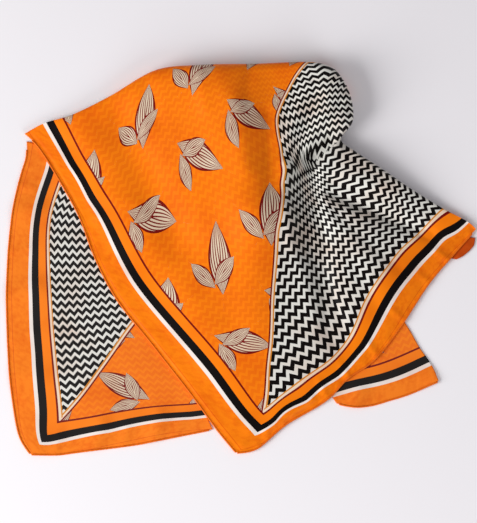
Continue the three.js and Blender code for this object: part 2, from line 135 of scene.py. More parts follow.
# Finer creases than the solid has, each set where the cloth shows one
FRONT_CREASES = (
    # The deep valley's head, run, foot, lip and shelf
    Fold(93, 132, 84, 92, 9, -9), Fold(84, 92, 97, 34, 10, -10), Fold(97, 34, 128, -92, 10, -7),
    Fold(64, 128, 68, 20, 10, 6.5), Fold(76, 8, 104, -96, 10, 2.4),
    # The ridge beside the overlap crease
    Fold(136, 150, 106, 122, 7, 7.5), Fold(108, 118, 124, 46, 10, 3.6),
    # Four creases that fan out from the notch
    Fold(110, 112, 240, 66, 7, -2.2), Fold(114, 92, 262, 32, 8, -3.6),
    Fold(118, 70, 224, -22, 9, -2.2), Fold(128, 36, 190, -72, 10, -1.8),
    # The loop's two folds, its rib and the dip at its foot
    Fold(78, 150, 110, 222, 8, -3.2), Fold(98, 150, 140, 214, 6, -2.6),
    Fold(64, 164, 92, 240, 8, 2.6), Fold(100, 143, 124, 165, 6, -8),
    # The bulge's crease and brow
    Fold(36, 200, 40, 88, 10, -2.6), Fold(-8, 214, 6, 120, 16, 3.0),
    # The bend of the tip, and two dips in the right band
    Fold(268, 12, 302, 38, 7, -1.6), Fold(176, -118, 208, -92, 9, -1.2),
    Fold(92, -196, 122, -162, 8, -1.0),
    # Ease along the left side
    Fold(-282, 184, -196, 118, 12, -1.1), Fold(-246, 96, -150, 76, 10, 0.9),
    Fold(-168, -40, -96, 4, 11, -0.9), Fold(-92, -160, -30, -96, 10, 0.9),
    # Ease along the top roll
    Fold(-140, 262, -118, 190, 12, -1.4), Fold(-62, 270, -52, 206, 10, 1.2),
    Fold(12, 272, 8, 226, 9, -1.3), Fold(-226, 250, -190, 196, 11, 1.0),
)
# Short pleats and curls in the hem bands, which keep their depth up to the hem
BAND_CREASES = (
    # The curl near the lower corner
    Fold(34, -244, 96, -200, 7, 2.6), Fold(44, -250, 100, -212, 6, -1.4),
    # Pleats at the lower corner
    Fold(0, -262, 14, -244, 4.5, 1.2), Fold(-22, -246, -8, -232, 4, 0.9),
    # Pleats along the right hem
    Fold(118, -196, 108, -176, 5, 1.3), Fold(150, -172, 138, -152, 5, 1.1),
    Fold(188, -138, 176, -122, 5.5, 1.4), Fold(226, -88, 212, -78, 5, 1.2),
    Fold(262, -34, 248, -26, 5, 1.0), Fold(286, -2, 272, 8, 5.5, 1.5),
    # Pleats along the left hem
    Fold(-64, -196, -48, -184, 5, 1.1), Fold(-104, -144, -86, -134, 5, 0.9),
    Fold(-158, -76, -138, -66, 5.5, 1.2), Fold(-198, -10, -178, -4, 5, 1.0),
    Fold(-224, 52, -204, 58, 5.5, 1.2), Fold(-256, 112, -236, 122, 6, 1.3),
)
BACK_SIDE_HEM = (
    Plan(-292, -278), Plan(-309, -250), Plan(-319, -201), Plan(-325, -152),
    Plan(-329, -87), Plan(-330, -39), Plan(-328, 21), Plan(-322, 76),
    Plan(-313, 118), Plan(-306, 144), Plan(-306, 167),
)
BACK_BOTTOM_HEM = (
    Plan(-292, -278), Plan(-255, -278), Plan(-231, -275), Plan(-183, -269),
    Plan(-140, -263), Plan(-90, -253), Plan(-40, -243),
)
BACK_FOLDS = (
    # The corner's lift, two waves of the bottom hem and three of the side hem
    Fold(-286, -270, -286, -270, 23, 2.7), Fold(-207, -279, -194, -236, 13.5, 2.2),
    Fold(-126, -270, -112, -225, 12.6, 2.7), Fold(-335, -54, -290, -43, 18, 2.7),
    Fold(-331, 63, -288, 70, 16.2, 2.7), Fold(-326, -171, -286, -162, 16.2, 1.8),
)
BACK_CREASES = (
    # Ease beside the hems, and one long crease
    Fold(-318, -118, -292, -104, 7, 0.9), Fold(-322, 8, -300, 14, 6, 0.8),
    Fold(-316, 104, -296, 100, 7, 1.0), Fold(-258, -274, -252, -250, 6, 0.9),
    Fold(-164, -264, -158, -240, 7, 1.0), Fold(-92, -250, -84, -230, 6, 0.8),
    Fold(-300, -196, -212, -150, 11, 1.0),
)
BACK_TURNED_EDGE = (
    Plan(225, -88), Plan(236, -106), Plan(248, -128), Plan(264, -152), Plan(274, -176),
)
BACK_RIGHT_HEM = (
    Plan(274, -176), Plan(232, -194), Plan(203, -203), Plan(183, -209), Plan(163, -212),
    Plan(148, -211), Plan(131, -207),
)
RIGHT_FOLDS = (
    # The curl and the lifted point
    Fold(155, -216, 162, -189, 14.4, 2.7), Fold(268, -171, 268, -171, 16.2, 1.8),
)
TURNED_CORNER_OUTER = (Plan(328, 28), Plan(325, 16), Plan(312, 3), Plan(301, -3))
CORNER_FOLDS = (
    # The curl and the hollow beside it
    Fold(316, 16, 305, 2, 6, 1.4), Fold(309, 24, 297, 9, 5, -0.5),
)

# Where the print lies on each stretch, read from its border lines and its diagonal
FRONT_MARKS = (
    # Along the left hem
    Mark(-8, -276, 0, 0), Mark(-72, -193, 105, 0), Mark(-126, -124, 193, 0),
    Mark(-176, -60, 274, 0), Mark(-207, -1, 341, 0), Mark(-230, 58, 404, 0),
    Mark(-260, 112, 467, 0), Mark(-308, 176, 547, 0),
    # Along the white line beside it
    Mark(20, -248, 37, 37), Mark(-45, -167, 140, 37), Mark(-98, -104, 222, 37),
    Mark(-154, -34, 311, 37), Mark(-186, 28, 382, 37), Mark(-216, 81, 443, 37),
    Mark(-244, 130, 500, 37), Mark(-279, 192, 570, 37),
    # Along the diagonal
    Mark(30, -218, 67, 67), Mark(39, -132, 125, 125), Mark(42, -68, 171, 171),
    Mark(49, 32, 241, 241), Mark(56, 99, 286, 286), Mark(57, 127, 304, 304),
    Mark(54, 153, 320, 320), Mark(49, 194, 346, 346), Mark(64, 232, 393, 393),
    Mark(75, 253, 418, 418), Mark(92, 275, 448, 448),
    # In the orange field
    Mark(-122, 266, 522, 194), Mark(-1, 275, 461, 310), Mark(-54, 54, 311, 165),
    Mark(-18, 162, 362, 256), Mark(-135, 135, 426, 121),
    # Along the right hem
    Mark(62, -236, 0, 83), Mark(117, -203, 0, 144), Mark(184, -147, 0, 230),
    Mark(219, -104, 0, 286), Mark(262, -39, 0, 362), Mark(297, 2, 0, 412),
    Mark(330, 39, 0, 468),
    # Along the white line beside it
    Mark(47, -232, 37, 68), Mark(90, -203, 37, 120), Mark(135, -169, 37, 176),
    Mark(173, -128, 37, 232), Mark(209, -65, 37, 305), Mark(239, -24, 37, 356),
    Mark(269, 9, 37, 400), Mark(284, 26, 37, 424), Mark(302, 36, 37, 444),
    Mark(318, 50, 37, 464),
    # In the zigzag field
    Mark(117, 90, 226, 401), Mark(135, 0, 140, 309), Mark(148, -50, 94, 273),
    Mark(74, 126, 292, 317), Mark(72, 90, 267, 292), Mark(76, 45, 228, 268),
    Mark(76, 0, 195, 241), Mark(90, -90, 122, 193), Mark(63, -162, 86, 126),
)
# The loop above the overlap crease, which hides some 76 mm of the cloth
LOOP_MARKS = (
    Mark(157, 194, 314, 514), Mark(151, 236, 373, 518), Mark(144, 256, 404, 488),
    Mark(133, 266, 420, 468), Mark(112, 270, 430, 458), Mark(108, 216, 354, 446),
    Mark(83, 182, 328, 398), Mark(140, 172, 282, 488), Mark(118, 152, 272, 452),
    Mark(90, 152, 284, 402), Mark(97, 135, 276, 420),
)
# The cloth below the crease
RIDGE_MARKS = (
    Mark(280, 70, 73, 468), Mark(239, 95, 128, 474), Mark(195, 125, 198, 478),
    Mark(160, 148, 254, 483), Mark(140, 166, 287, 487), Mark(101, 129, 287, 424),
    Mark(216, 18, 81, 375), Mark(198, 72, 155, 423), Mark(144, 117, 236, 446),
)
BACK_LEFT_MARKS = (
    # Along the side hem
    Mark(-309, -250, 0, 32), Mark(-319, -201, 0, 83), Mark(-325, -152, 0, 132),
    Mark(-329, -87, 0, 197), Mark(-330, -39, 0, 246), Mark(-328, 21, 0, 305),
    Mark(-322, 76, 0, 360), Mark(-313, 118, 0, 404), Mark(-305, 157, 0, 444),
    # Along the white line beside it
    Mark(-278, -261, 37, 37), Mark(-283, -218, 37, 80), Mark(-290, -136, 37, 162),
    Mark(-295, -55, 37, 243), Mark(-296, 11, 37, 309), Mark(-292, 66, 37, 364),
    Mark(-275, 128, 37, 428),
    # Along the bottom hem and its white line, and in the field
    Mark(-183, -244, 132, 37), Mark(-70, -226, 248, 37), Mark(-183, -269, 132, 0),
    Mark(-70, -248, 248, 0), Mark(-292, -278, 0, 0), Mark(-254, -231, 65, 65),
    Mark(-183, -219, 133, 65), Mark(-157, -90, 191, 200), Mark(-207, -162, 122, 131),
    Mark(-243, 54, 106, 360),
)
BACK_RIGHT_MARKS = (
    Mark(274, -176, 470, 9), Mark(232, -194, 425, 9), Mark(163, -212, 352, 9),
    Mark(264, -149, 462, 37), Mark(163, -184, 355, 37),
    Mark(248, -127, 455, 65), Mark(186, -152, 388, 65),
)
TURNED_MARKS = (
    Mark(328, 28, 300, 4), Mark(301, -3, 256, 4), Mark(312, 22, 295, 16), Mark(290, 0, 262, 16),
)


class Curve:
    """A smooth line in plan, read at shares of its length."""

    direction_step: float = 0.01

    def __init__(self, sample: Callable[[np.ndarray], np.ndarray]) -> None:
        """Keep the function that reads the line.

        Args:
            sample: Takes shares from 0 to 1 and returns a row of x, y and more for each.
        """
        self.sample = sample

    def __call__(self, share: np.ndarray | float) -> np.ndarray:
        """Rows of x, y and any more columns at the shares given."""
        return self.sample(np.atleast_1d(np.asarray(share, float)))

    @classmethod
    def through(cls, rows: Sequence[Sequence[float]]) -> "Curve":
        """A smooth line through a table's rows.

        Args:
            rows: Places along the line, x and y first, with any more columns after them.

        Returns:
            The line, with shares measured along its chords.
        """
        table = np.array([tuple(row) for row in rows], float)
        steps = np.hypot(*np.diff(table[:, :2], axis=0).T)
        chord = np.concatenate([[0.0], np.cumsum(steps)])
        last = len(table) - 1

        def sample(share: np.ndarray) -> np.ndarray:
            """Read the line.

            Args:
                share: Shares of its length.

            Returns:
                A row of the table's columns for each share.
            """
            along = np.clip(share, 0, 1) * chord[-1]
            i = np.searchsorted(chord[1:last], along, side="left")
            part = ((along - chord[i]) / (chord[i + 1] - chord[i]))[:, None]
            before, start = table[np.maximum(i - 1, 0)], table[i]
            end, after = table[i + 1], table[np.minimum(i + 2, last)]
            slope_in, slope_out = (end - before) / 2, (after - start) / 2
            rise = end - start
            bend = 3 * rise - 2 * slope_in - slope_out
            settle = slope_in + slope_out - 2 * rise
            return start + part * (slope_in + part * (bend + part * settle))

        return cls(sample)

    def shifted(self, distance: float) -> "Curve":
        """The line moved sideways in plan, to the right of its direction if positive.

        Args:
            distance: How far it moves, in millimetres.

        Returns:
            The moved line.
        """
        step = self.direction_step

        def sample(share: np.ndarray) -> np.ndarray:
            """Read the moved line.

            Args:
                share: Shares of its length.

            Returns:
                A row for each share.
            """
            ahead = self(share + step)[:, :2] - self(share - step)[:, :2]
            ahead /= np.linalg.norm(ahead, axis=1)[:, None]
            rows = self(share).copy()
            rows[:, 0] += distance * ahead[:, 1]
            rows[:, 1] -= distance * ahead[:, 0]
            return rows

        return Curve(sample)

    def starting_at(self, corner: np.ndarray, share: float) -> "Curve":
        """The line with its start moved onto a corner, eased out along a share of it.

        Args:
            corner: The x and y that it starts from.
            share: The share of its length over which the move fades.

        Returns:
            The moved line.
        """
        def sample(at: np.ndarray) -> np.ndarray:
            """Read the moved line.

            Args:
                at: Shares of its length.

            Returns:
                A row for each share.
            """
            rows = self(at).copy()
            pull = np.maximum(0, 1 - at / share)[:, None]
            rows[:, :2] += (np.asarray(corner)[:2] - self(0.0)[0, :2]) * pull
            return rows

        return Curve(sample)

    def part(self, start: float, end: float) -> "Curve":
        """The stretch of the line between two shares of its length."""
        return Curve(lambda share: self(start + (end - start) * share))

    def reversed(self) -> "Curve":
        """The same line run from its other end."""
        return Curve(lambda share: self(1 - share))

    @classmethod
    def between(cls, start: np.ndarray, end: np.ndarray) -> "Curve":
        """A straight line between two places."""
        first, last = np.asarray(start)[:2], np.asarray(end)[:2]
        return cls(lambda share: first + (last - first) * share[:, None])


class Patch(NamedTuple):
    """Four lines round a stretch of cloth: left and right run with b, bottom and top with a."""

    left: Curve
    right: Curve
    bottom: Curve
    top: Curve

    def places(self, a: np.ndarray, b: np.ndarray) -> np.ndarray:
        """Plan places of a grid over the patch.

        Args:
            a: Shares across the patch, one for each column.
            b: Shares along the patch, one for each row.

        Returns:
            An array of rows by columns by x and y.
        """
        left, right = self.left(b)[:, None, :2], self.right(b)[:, None, :2]
        low, high = self.bottom(a)[None, :, :2], self.top(a)[None, :, :2]
        across = a[None, :, None]
        along = b[:, None, None]
        low_ends, high_ends = self.bottom([0.0, 1.0])[:, :2], self.top([0.0, 1.0])[:, :2]
        low_mix = (1 - across) * low_ends[0] + across * low_ends[1]
        high_mix = (1 - across) * high_ends[0] + across * high_ends[1]
        mixed = (1 - across) * left + across * right
        return mixed + (1 - along) * (low - low_mix) + along * (high - high_mix)


def fold_height(folds: Sequence[Fold], x: np.ndarray, y: np.ndarray) -> np.ndarray:
    """Height that soft folds add.

    Args:
        folds: The folds' table.
        x: Places in plan.
        y: Places in plan.

    Returns:
        The added height at each place, in millimetres.
    """
    height = np.zeros_like(x)
    for fold in folds:
        run_x, run_y = fold.x1 - fold.x0, fold.y1 - fold.y0
        square = run_x**2 + run_y**2
        across = (x - fold.x0) * run_x + (y - fold.y0) * run_y
        share = np.clip(across / square, 0, 1) if square > 0 else np.zeros_like(x)
        away = np.hypot(x - fold.x0 - share * run_x, y - fold.y0 - share * run_y)
        height += fold.rise * np.exp(-((away / fold.width) ** 2))
    return height


class PrintMap:
    """Finds which place of the print lies at a place in plan, by a thin-plate fit."""

    reach: float = 100.0
    nearest: float = 1e-9

    def __init__(self, marks: Sequence[Mark], slack: float = 2.0) -> None:
        """Fit the smoothest stretch of the print that passes close to the marks.

        Args:
            marks: Places in plan with the places of the print that lie there.
            slack: How loosely the fit holds to the marks; 0 holds exactly.
        """
        table = np.array(marks, float)
        self.known = table[:, :2] / self.reach
        count = len(table)
        bending = self._bending(self.known) + np.eye(count) * slack * 1e-3
        plane = np.column_stack([np.ones(count), self.known])
        system = np.block([[bending, plane], [plane.T, np.zeros((3, 3))]])
        aims = np.vstack([table[:, 2:], np.zeros((3, 2))])
        self.weights = np.linalg.solve(system, aims)

    def _bending(self, places: np.ndarray) -> np.ndarray:
        """The thin-plate term between each place and each mark."""
        away = np.linalg.norm(places[:, None, :] - self.known[None, :, :], axis=2)
        return np.where(away > 0, away**2 * np.log(np.maximum(away, self.nearest)), 0.0)

    def at(self, x: np.ndarray, y: np.ndarray) -> tuple[np.ndarray, np.ndarray]:
        """Print coordinates at places in plan.

        Args:
            x: Places in plan.
            y: Places in plan.

        Returns:
            The distances u and v from the cloth's two hems, in millimetres.
        """
        places = np.column_stack([x.ravel(), y.ravel()]) / self.reach
        plane = np.column_stack([np.ones(len(places)), places])
        found = np.hstack([self._bending(places), plane]) @ self.weights
        return found[:, 0].reshape(x.shape), found[:, 1].reshape(x.shape)


def grid_quads(rows: int, columns: int, first: int = 0) -> np.ndarray:
    """Quads of a grid of points.

    Args:
        rows: Rows of points.
        columns: Points in each row.
        first: Index of the first point.

    Returns:
        An array of four point indices a quad, facing up where rows run to the left of columns.
    """
    at = np.arange(rows * columns).reshape(rows, columns) + first
    corners = [at[:-1, :-1], at[:-1, 1:], at[1:, 1:], at[1:, :-1]]
    return np.stack(corners, axis=-1).reshape(-1, 4)


class Wave(NamedTuple):
    """One wave along a hem: its length through a radian, share of the height, start and slant."""

    length: float
    share: float = 1.0
    start: float = 0.0
    slant: float = math.inf


class Train(NamedTuple):
    """Waves beside a hem, with their height, and where in from the hem they lie and fade."""

    waves: tuple[Wave, ...]
    height: float
    middle: float
    reach: float


# Short ripples at the stitches, longer ones further in, and the groove where the turned edge ends
HEM_TRAINS = (
    Train((Wave(4.1), Wave(2.7, 0.7, 1.3), Wave(9.2, 0.5, 0.4)), 0.34, 5, 5),
    Train((Wave(17.0, slant=14.0), Wave(11.0, 0.6, slant=-19.0)), 0.62, 22, 15),
)
HEM_GROOVE_DEPTH = 1.0
HEM_GROOVE_MIDDLE = 8.5
HEM_GROOVE_REACH = 1.8
# The way along any of the hems, as a slanting sum of its plan places
RUN_PER_X = 0.83
RUN_PER_Y = 0.71


def hem_ripple(inward: np.ndarray, nearest: np.ndarray) -> np.ndarray:
    """The cloth's small ripples beside a rolled hem, where the stitches draw it in.

    Args:
        inward: Distances in from the hem, in millimetres.
        nearest: The hem's plan places beside them.

    Returns:
        The added height, in millimetres.
    """
    run = nearest[..., 0] * RUN_PER_X + nearest[..., 1] * RUN_PER_Y
    height = -HEM_GROOVE_DEPTH * np.exp(-(((inward - HEM_GROOVE_MIDDLE) / HEM_GROOVE_REACH) ** 2))
    for train in HEM_TRAINS:
        ripple = sum(wave.share * np.sin(run / wave.length + inward / wave.slant + wave.start)
                     for wave in train.waves)
        height = height + ripple * train.height * np.exp(
            -(((inward - train.middle) / train.reach) ** 2))
    return height


def cloth_object(
    name: str,
    points: np.ndarray,
    quads: Sequence[Sequence[int]],
    print_places: np.ndarray | None = None,
    wall: float = 0.0,
) -> bpy.types.Object:
    """Make a cloth object, smooth and with its print coordinates, as a shell if wanted.

    Args:
        name: The object's name.
        points: Points in millimetres, in the source's plan before its centring.
        quads: Point indices of each face.
        print_places: The print's u and v in millimetres at each corner of each face.
        wall: The shell's wall in millimetres, or 0 for none.

    Returns:
        The object, in the scene, at the origin.
    """
    placed = (points + np.array([PLAN_SHIFT_X, PLAN_SHIFT_Y, 0.0])) * MM
    mesh = bpy.data.meshes.new(name)
    mesh.from_pydata(placed.tolist(), [], [list(face) for face in quads])
    if print_places is not None:
        layer = mesh.uv_layers.new(name=CLOTH_UV)
        layer.data.foreach_set("uv", (print_places * MM).astype(np.float32).ravel())
    mesh.validate()
    obj = bpy.data.objects.new(name, mesh)
    bpy.context.collection.objects.link(obj)
    bpy.ops.object.select_all(action="DESELECT")
    obj.select_set(True)
    bpy.context.view_layer.objects.active = obj
    if wall > 0:
        shell = obj.modifiers.new("wall", "SOLIDIFY")
        shell.thickness = wall * MM
        shell.offset = -1
        bpy.ops.object.modifier_apply(modifier=shell.name)
    bpy.ops.object.shade_smooth()
    return obj


def linear(code: str) -> tuple[float, float, float, float]:
    """A linear colour from an sRGB hex code.

    Args:
        code: Six hex digits.

    Returns:
        Red, green, blue and full opacity.
    """
    shares = [int(code[i : i + 2], 16) / 255 for i in (0, 2, 4)]
    turned = [s / 12.92 if s <= 0.04045 else ((s + 0.055) / 1.055) ** 2.4 for s in shares]
    return (*turned, 1.0)


Value = float | tuple[float, ...] | bpy.types.NodeSocket | bpy.types.Node


class NodeDesk:
    """Adds nodes to one material and links them, and holds its distances u and v in millimetres."""

    def __init__(self, name: str) -> None:
        """Start a material with only its output and a principled shader.

        Args:
            name: The material's name.
        """
        self.material = bpy.data.materials.new(name)
        self.material.use_nodes = True
        self.tree = self.material.node_tree
        self.shader = self.tree.nodes["Principled BSDF"]
        self.u: Value = 0.0
        self.v: Value = 0.0

    def measure(self, place: Value) -> None:
        """Take the distances u and v from a place in metres."""
        ways = self.add("SeparateXYZ", place).outputs
        self.u, self.v = (self.add("Math MULTIPLY", ways[way], 1 / MM) for way in "XY")

    def add(self, kind: str, *values: Value, **named: Value | str | bool) -> bpy.types.Node:
        """Add one node with its settings and links.

        Args:
            kind: Blender's name of the node after "ShaderNode", and its operation if it has one.
            *values: What its inputs in use take, in their order.
            **named: What an input takes, by its name with a capital, or else a setting.

        Returns:
            The node.
        """
        family, _, operation = kind.partition(" ")
        node = self.tree.nodes.new(f"ShaderNode{family}")
        if operation:
            node.operation = operation
        for key, value in named.items():
            if key[0].isupper():
                self.feed(node.inputs[key], value)
            else:
                setattr(node, key, value)
        for socket, value in zip([given for given in node.inputs if given.enabled], values):
            self.feed(socket, value)
        return node

    def feed(self, socket: bpy.types.NodeSocket, value: Value) -> None:
        """Link an input, or set its value.

        Args:
            socket: The input.
            value: A socket, a node whose first output in use is meant, or a plain value.
        """
        if isinstance(value, bpy.types.Node):
            value = next(out for out in value.outputs if out.enabled)
        if isinstance(value, bpy.types.NodeSocket):
            self.tree.links.new(value, socket)
        else:
            socket.default_value = value

    def within(self, value: Value, low: float, high: float) -> Value:
        """1 where a value lies between two bounds, and 0 elsewhere."""
        above = self.add("Math GREATER_THAN", value, low)
        return self.add("Math MULTIPLY", above, self.add("Math LESS_THAN", value, high))


class Rows(Enum):
    """Which hem the zigzag's rows run beside."""

    BESIDE_OWN_HEM = "beside the hem of their own side"
    ACROSS = "square to it"


class Side(Enum):
    """Which side of the printed cloth faces out."""

    FACE = "face"
    REVERSE = "reverse"


@dataclass(frozen=True)
class Border:
    """The border's bands and lines, as distances in from the hem in millimetres."""

    # Where the painted shade in the hem's crease lies
    crease_shade_from: float = 8.2
    crease_shade_to: float = 9.4
    white_from: float = 34.0
    black_from: float = 39.5
    inner_orange_from: float = 50.7
    red_from: float = 63.3
    field_from: float = 66.0
    gold_from: float = 69.4
    zigzag_from: float = 71.2


class Leaf(NamedTuple):
    """One leaf of a sprig: its lean in degrees, its stem's place, its length and whole width."""

    lean: float
    stem_x: float
    stem_y: float
    length: float
    width: float


@dataclass(frozen=True)
class Sprig:
    """The print's repeat, in millimetres: a sprig of three leaves drawn in contour lines.

    The outline is a share of a leaf's half width, and contours says how many lines that holds.
    """

    cell_u: float = 106.0
    cell_v: float = 96.0
    leaves: tuple[Leaf, ...] = (
        Leaf(38.0, -34.0, -18.0, 84.0, 34.0),
        Leaf(82.0, -16.0, -18.0, 46.0, 22.0),
        Leaf(-8.0, -20.0, -20.0, 46.0, 22.0),
    )
    outline: float = 0.17
    contours: float = 4.4
    contour_slant: float = 2.0
    contour_share: float = 0.4
    stem_half: float = 0.01


@dataclass(frozen=True)
class PaintedShade:
    """Painted shade laid over the print: along the hem's crease, in slow random drifts for the silk's
    uneven shade and sheen, and in the hem band where it puckers.
    """

    # Painted shade in the hem's crease, and how strongly it is laid
    crease: str = "DC5405"
    crease_share: float = 0.6
    # The tint that the drifts and the hem band's streaks of painted shade multiply in
    shade_tint: str = "EBCBBB"
    # Slow random drifts of painted shade and sheen
    drift_scale: float = 0.016
    drift_from: float = 0.46
    drift_gain: float = 2.4
    # Streaks of painted shade across the hem band, where it puckers
    band_scale: float = 0.1375
    band_from: float = 0.42
    band_gain: float = 2.0


@dataclass(frozen=True)
class SilkFinish:
    """What silk twill shows up close: fine slanting ribs, faint slubs and a soft sheen.

    The ribs' pitch is in millimetres, and the bump's reach in metres.
    """

    rib_pitch: float = 0.55
    rib_share: float = 0.25
    slub_scale: float = 0.35
    gloss_scale: float = 0.02
    gloss_change: float = 0.14
    bump_strength: float = 0.12
    bump_reach: float = 0.0001
    specular: float = 0.1
    sheen: float = 0.01
    sheen_roughness: float = 0.4

    def put_on(self, desk: NodeDesk, roughness: float) -> None:
        """Give a material's shader this finish.

        Args:
            desk: The material's desk.
            roughness: The cloth's mean roughness.
        """
        rib = desk.add("Math DIVIDE", desk.add("Math ADD", desk.u, desk.v), self.rib_pitch)
        ribs = desk.add("Math SINE", desk.add("Math MULTIPLY", rib, 2 * math.pi))
        place = desk.add("CombineXYZ", desk.u, desk.v)
        slub = desk.add("TexNoise", Vector=place, Scale=self.slub_scale, Detail=3.0)
        gloss = desk.add("TexNoise", Vector=place, Scale=self.gloss_scale, Detail=2.0)
        height = desk.add("Math MULTIPLY_ADD", ribs, self.rib_share, slub)
        bump = desk.add("Bump", Height=height, Strength=self.bump_strength,
                        Distance=self.bump_reach)
        rough = desk.add("Math MULTIPLY_ADD", gloss, self.gloss_change,
                         roughness - self.gloss_change / 2)
        for socket, value in (
            ("Normal", bump), ("Roughness", rough), ("Specular IOR Level", self.specular),
            ("Sheen Weight", self.sheen), ("Sheen Roughness", self.sheen_roughness),
        ):
            desk.feed(desk.shader.inputs[socket], value)


@dataclass(frozen=True)
class PrintedSilkTwill:
    """Silk twill, printed: a close satiny weave with a soft sheen and a crisp printed border.

    The reverse shows the same print a little paler, because the dye goes nearly through.
    """

    name: str
    side: Side = Side.FACE
    orange: str = "FF8208"
    tone: str = "F87607"
    red: str = "7A0D08"
    black: str = "0C0605"
    white: str = "F3E8E0"
    zigzag_white: str = "E6E4DC"
    line_white: str = "F4D9BE"
    gold: str = "D98A30"
    sprig_fill: str = "E3D0B4"
    paling_towards: float = 0.9
    paling: float = 0.015
    border: Border = field(default_factory=Border)
    sprig: Sprig = field(default_factory=Sprig)
    painted_shade: PaintedShade = field(default_factory=PaintedShade)
    finish: SilkFinish = field(default_factory=SilkFinish)
    zigzag_rows: Rows = Rows.BESIDE_OWN_HEM
    zigzag_pitch: float = 12.7
    zigzag_wave: float = 13.3
    tone_share: float = 0.85
    dark_share: float = 0.56
    line_half: float = 1.3
    line_outer: float = 3.5
    roughness: float = 0.44

    def dye(self, code: str) -> tuple[float, float, float, float]:
        """A printed colour, paler on the reverse.

        Args:
            code: Its six hex digits on the face.

        Returns:
            The linear colour.
        """
        colour = linear(code)
        if self.side is Side.FACE:
            return colour
        return (*[c + (self.paling_towards - c) * self.paling for c in colour[:3]], 1.0)

    def zigzag(self, desk: NodeDesk, size: float = 1.0) -> Value:
        """1 on the dark zigzag rows and 0 between them.

        Args:
            desk: Where the nodes go.
            size: The zigzag's size as a share of its full size.

        Returns:
            The mask.
        """
        beside = self.zigzag_rows is Rows.BESIDE_OWN_HEM
        along, over = (desk.v, desk.u) if beside else (desk.u, desk.v)
        wave = desk.add("Math FRACT", desk.add("Math DIVIDE", along, self.zigzag_wave * size))
        swing = desk.add("Math ABSOLUTE", desk.add("Math SUBTRACT", wave, 0.5))
        phase = desk.add("Math MULTIPLY_ADD", swing, self.zigzag_wave * size, over)
        row = desk.add("Math FRACT", desk.add("Math DIVIDE", phase, self.zigzag_pitch * size))
        return desk.add("Math LESS_THAN", row, self.dark_share)

    def leaf(self, desk: NodeDesk, x: Value, y: Value, leaf: Leaf) -> tuple[Value, Value]:
        """One leaf of the sprig.

        Args:
            desk: Where the nodes go.
            x: Distance from the sprig's middle along u, in millimetres.
            y: Distance from it along v.
            leaf: The leaf's place and sizes.

        Returns:
            Masks of the whole leaf and of its dark lines.
        """
        art = self.sprig
        lean_cos, lean_sin = math.cos(math.radians(leaf.lean)), math.sin(math.radians(leaf.lean))
        from_x = desk.add("Math SUBTRACT", x, leaf.stem_x)
        from_y = desk.add("Math SUBTRACT", y, leaf.stem_y)
        along = desk.add("Math MULTIPLY_ADD", from_x, lean_cos,
                         desk.add("Math MULTIPLY", from_y, lean_sin))
        across = desk.add("Math MULTIPLY_ADD", from_y, lean_cos,
                          desk.add("Math MULTIPLY", from_x, -lean_sin))
        share = desk.add("Math DIVIDE", along, leaf.length, use_clamp=True)
        swell = desk.add("Math SINE", desk.add("Math MULTIPLY", share, math.pi))
        half = desk.add("Math MULTIPLY_ADD", swell, leaf.width / 2, art.stem_half)
        away = desk.add("Math DIVIDE", desk.add("Math ABSOLUTE", across), half)
        body = desk.add("Math LESS_THAN", away, 1.0)
        rim = desk.add("Math GREATER_THAN", away, 1 - art.outline)
        ripple = desk.add("Math MULTIPLY_ADD", share, -art.contour_slant,
                          desk.add("Math MULTIPLY", away, art.contours))
        contour = desk.add("Math LESS_THAN", desk.add("Math FRACT", ripple), art.contour_share)
        return body, desk.add("Math MULTIPLY", body, desk.add("Math MAXIMUM", rim, contour))

    def sprigs(self, desk: NodeDesk) -> tuple[Value, Value]:
        """The sprigs, in a half-drop layout where each second column faces the other way.

        Args:
            desk: Where the nodes go.

        Returns:
            Masks of the sprigs and of their dark lines.
        """
        art = self.sprig
        column = desk.add("Math DIVIDE", desk.u, art.cell_u)
        odd = desk.add("Math FLOORED_MODULO", desk.add("Math FLOOR", column), 2.0)
        row = desk.add("Math MULTIPLY_ADD", odd, 0.5,
                       desk.add("Math DIVIDE", desk.v, art.cell_v))
        facing = desk.add("Math MULTIPLY_ADD", odd, -2.0, 1.0)
        x, y = (
            desk.add("Math MULTIPLY", desk.add("Math SUBTRACT", desk.add("Math FRACT", at), 0.5), cell)
            for at, cell in ((column, art.cell_u), (row, art.cell_v))
        )
        x = desk.add("Math MULTIPLY", x, facing)
        body: Value = 0.0
        lines: Value = 0.0
        for leaf in art.leaves:
            over, dark = self.leaf(desk, x, y, leaf)
            clear = desk.add("Math SUBTRACT", 1.0, over)
            lines = desk.add("Math MAXIMUM", desk.add("Math MULTIPLY", lines, clear), dark)
            body = desk.add("Math MAXIMUM", body, over)
        return body, lines

    def laid(self, desk: NodeDesk, under: Value, place: Value,
             bands: Sequence[tuple[float, float, str]], share: Value = 1.0) -> Value:
        """Bands of colour laid over a colour: the print's dyes, and the painted shade in the hem's
        crease.

        Args:
            desk: Where the nodes go.
            under: The colour below.
            place: The distance that the bands' bounds are measured by, in millimetres.
            bands: Each band's two bounds and its colour's hex code.
            share: How much of the dye each place takes.

        Returns:
            The colour with the bands on it.
        """
        for low, high, code in bands:
            mask = desk.add("Math MULTIPLY", desk.within(place, low, high), share)
            under = desk.add("Mix", mask, under, self.dye(code), data_type="RGBA")
        return under

    def fields(self, desk: NodeDesk, in_zigzag: Value) -> Value:
        """The colour of the quarters: zigzag in two, and sprigs on orange in the others.

        Args:
            desk: Where the nodes go.
            in_zigzag: 1 in the zigzag quarters.

        Returns:
            The colour.
        """
        sprig, lines = self.sprigs(desk)
        ground: Value = self.dye(self.orange)
        for mask, code in (
            (self.zigzag(desk, self.tone_share), self.tone),
            (sprig, self.sprig_fill),
            (lines, self.red),
        ):
            ground = desk.add("Mix", mask, ground, self.dye(code), data_type="RGBA")
        zigzag = desk.add("Mix", self.zigzag(desk), self.dye(self.zigzag_white),
                          self.dye(self.black), data_type="RGBA")
        return desk.add("Mix", in_zigzag, ground, zigzag, data_type="RGBA")

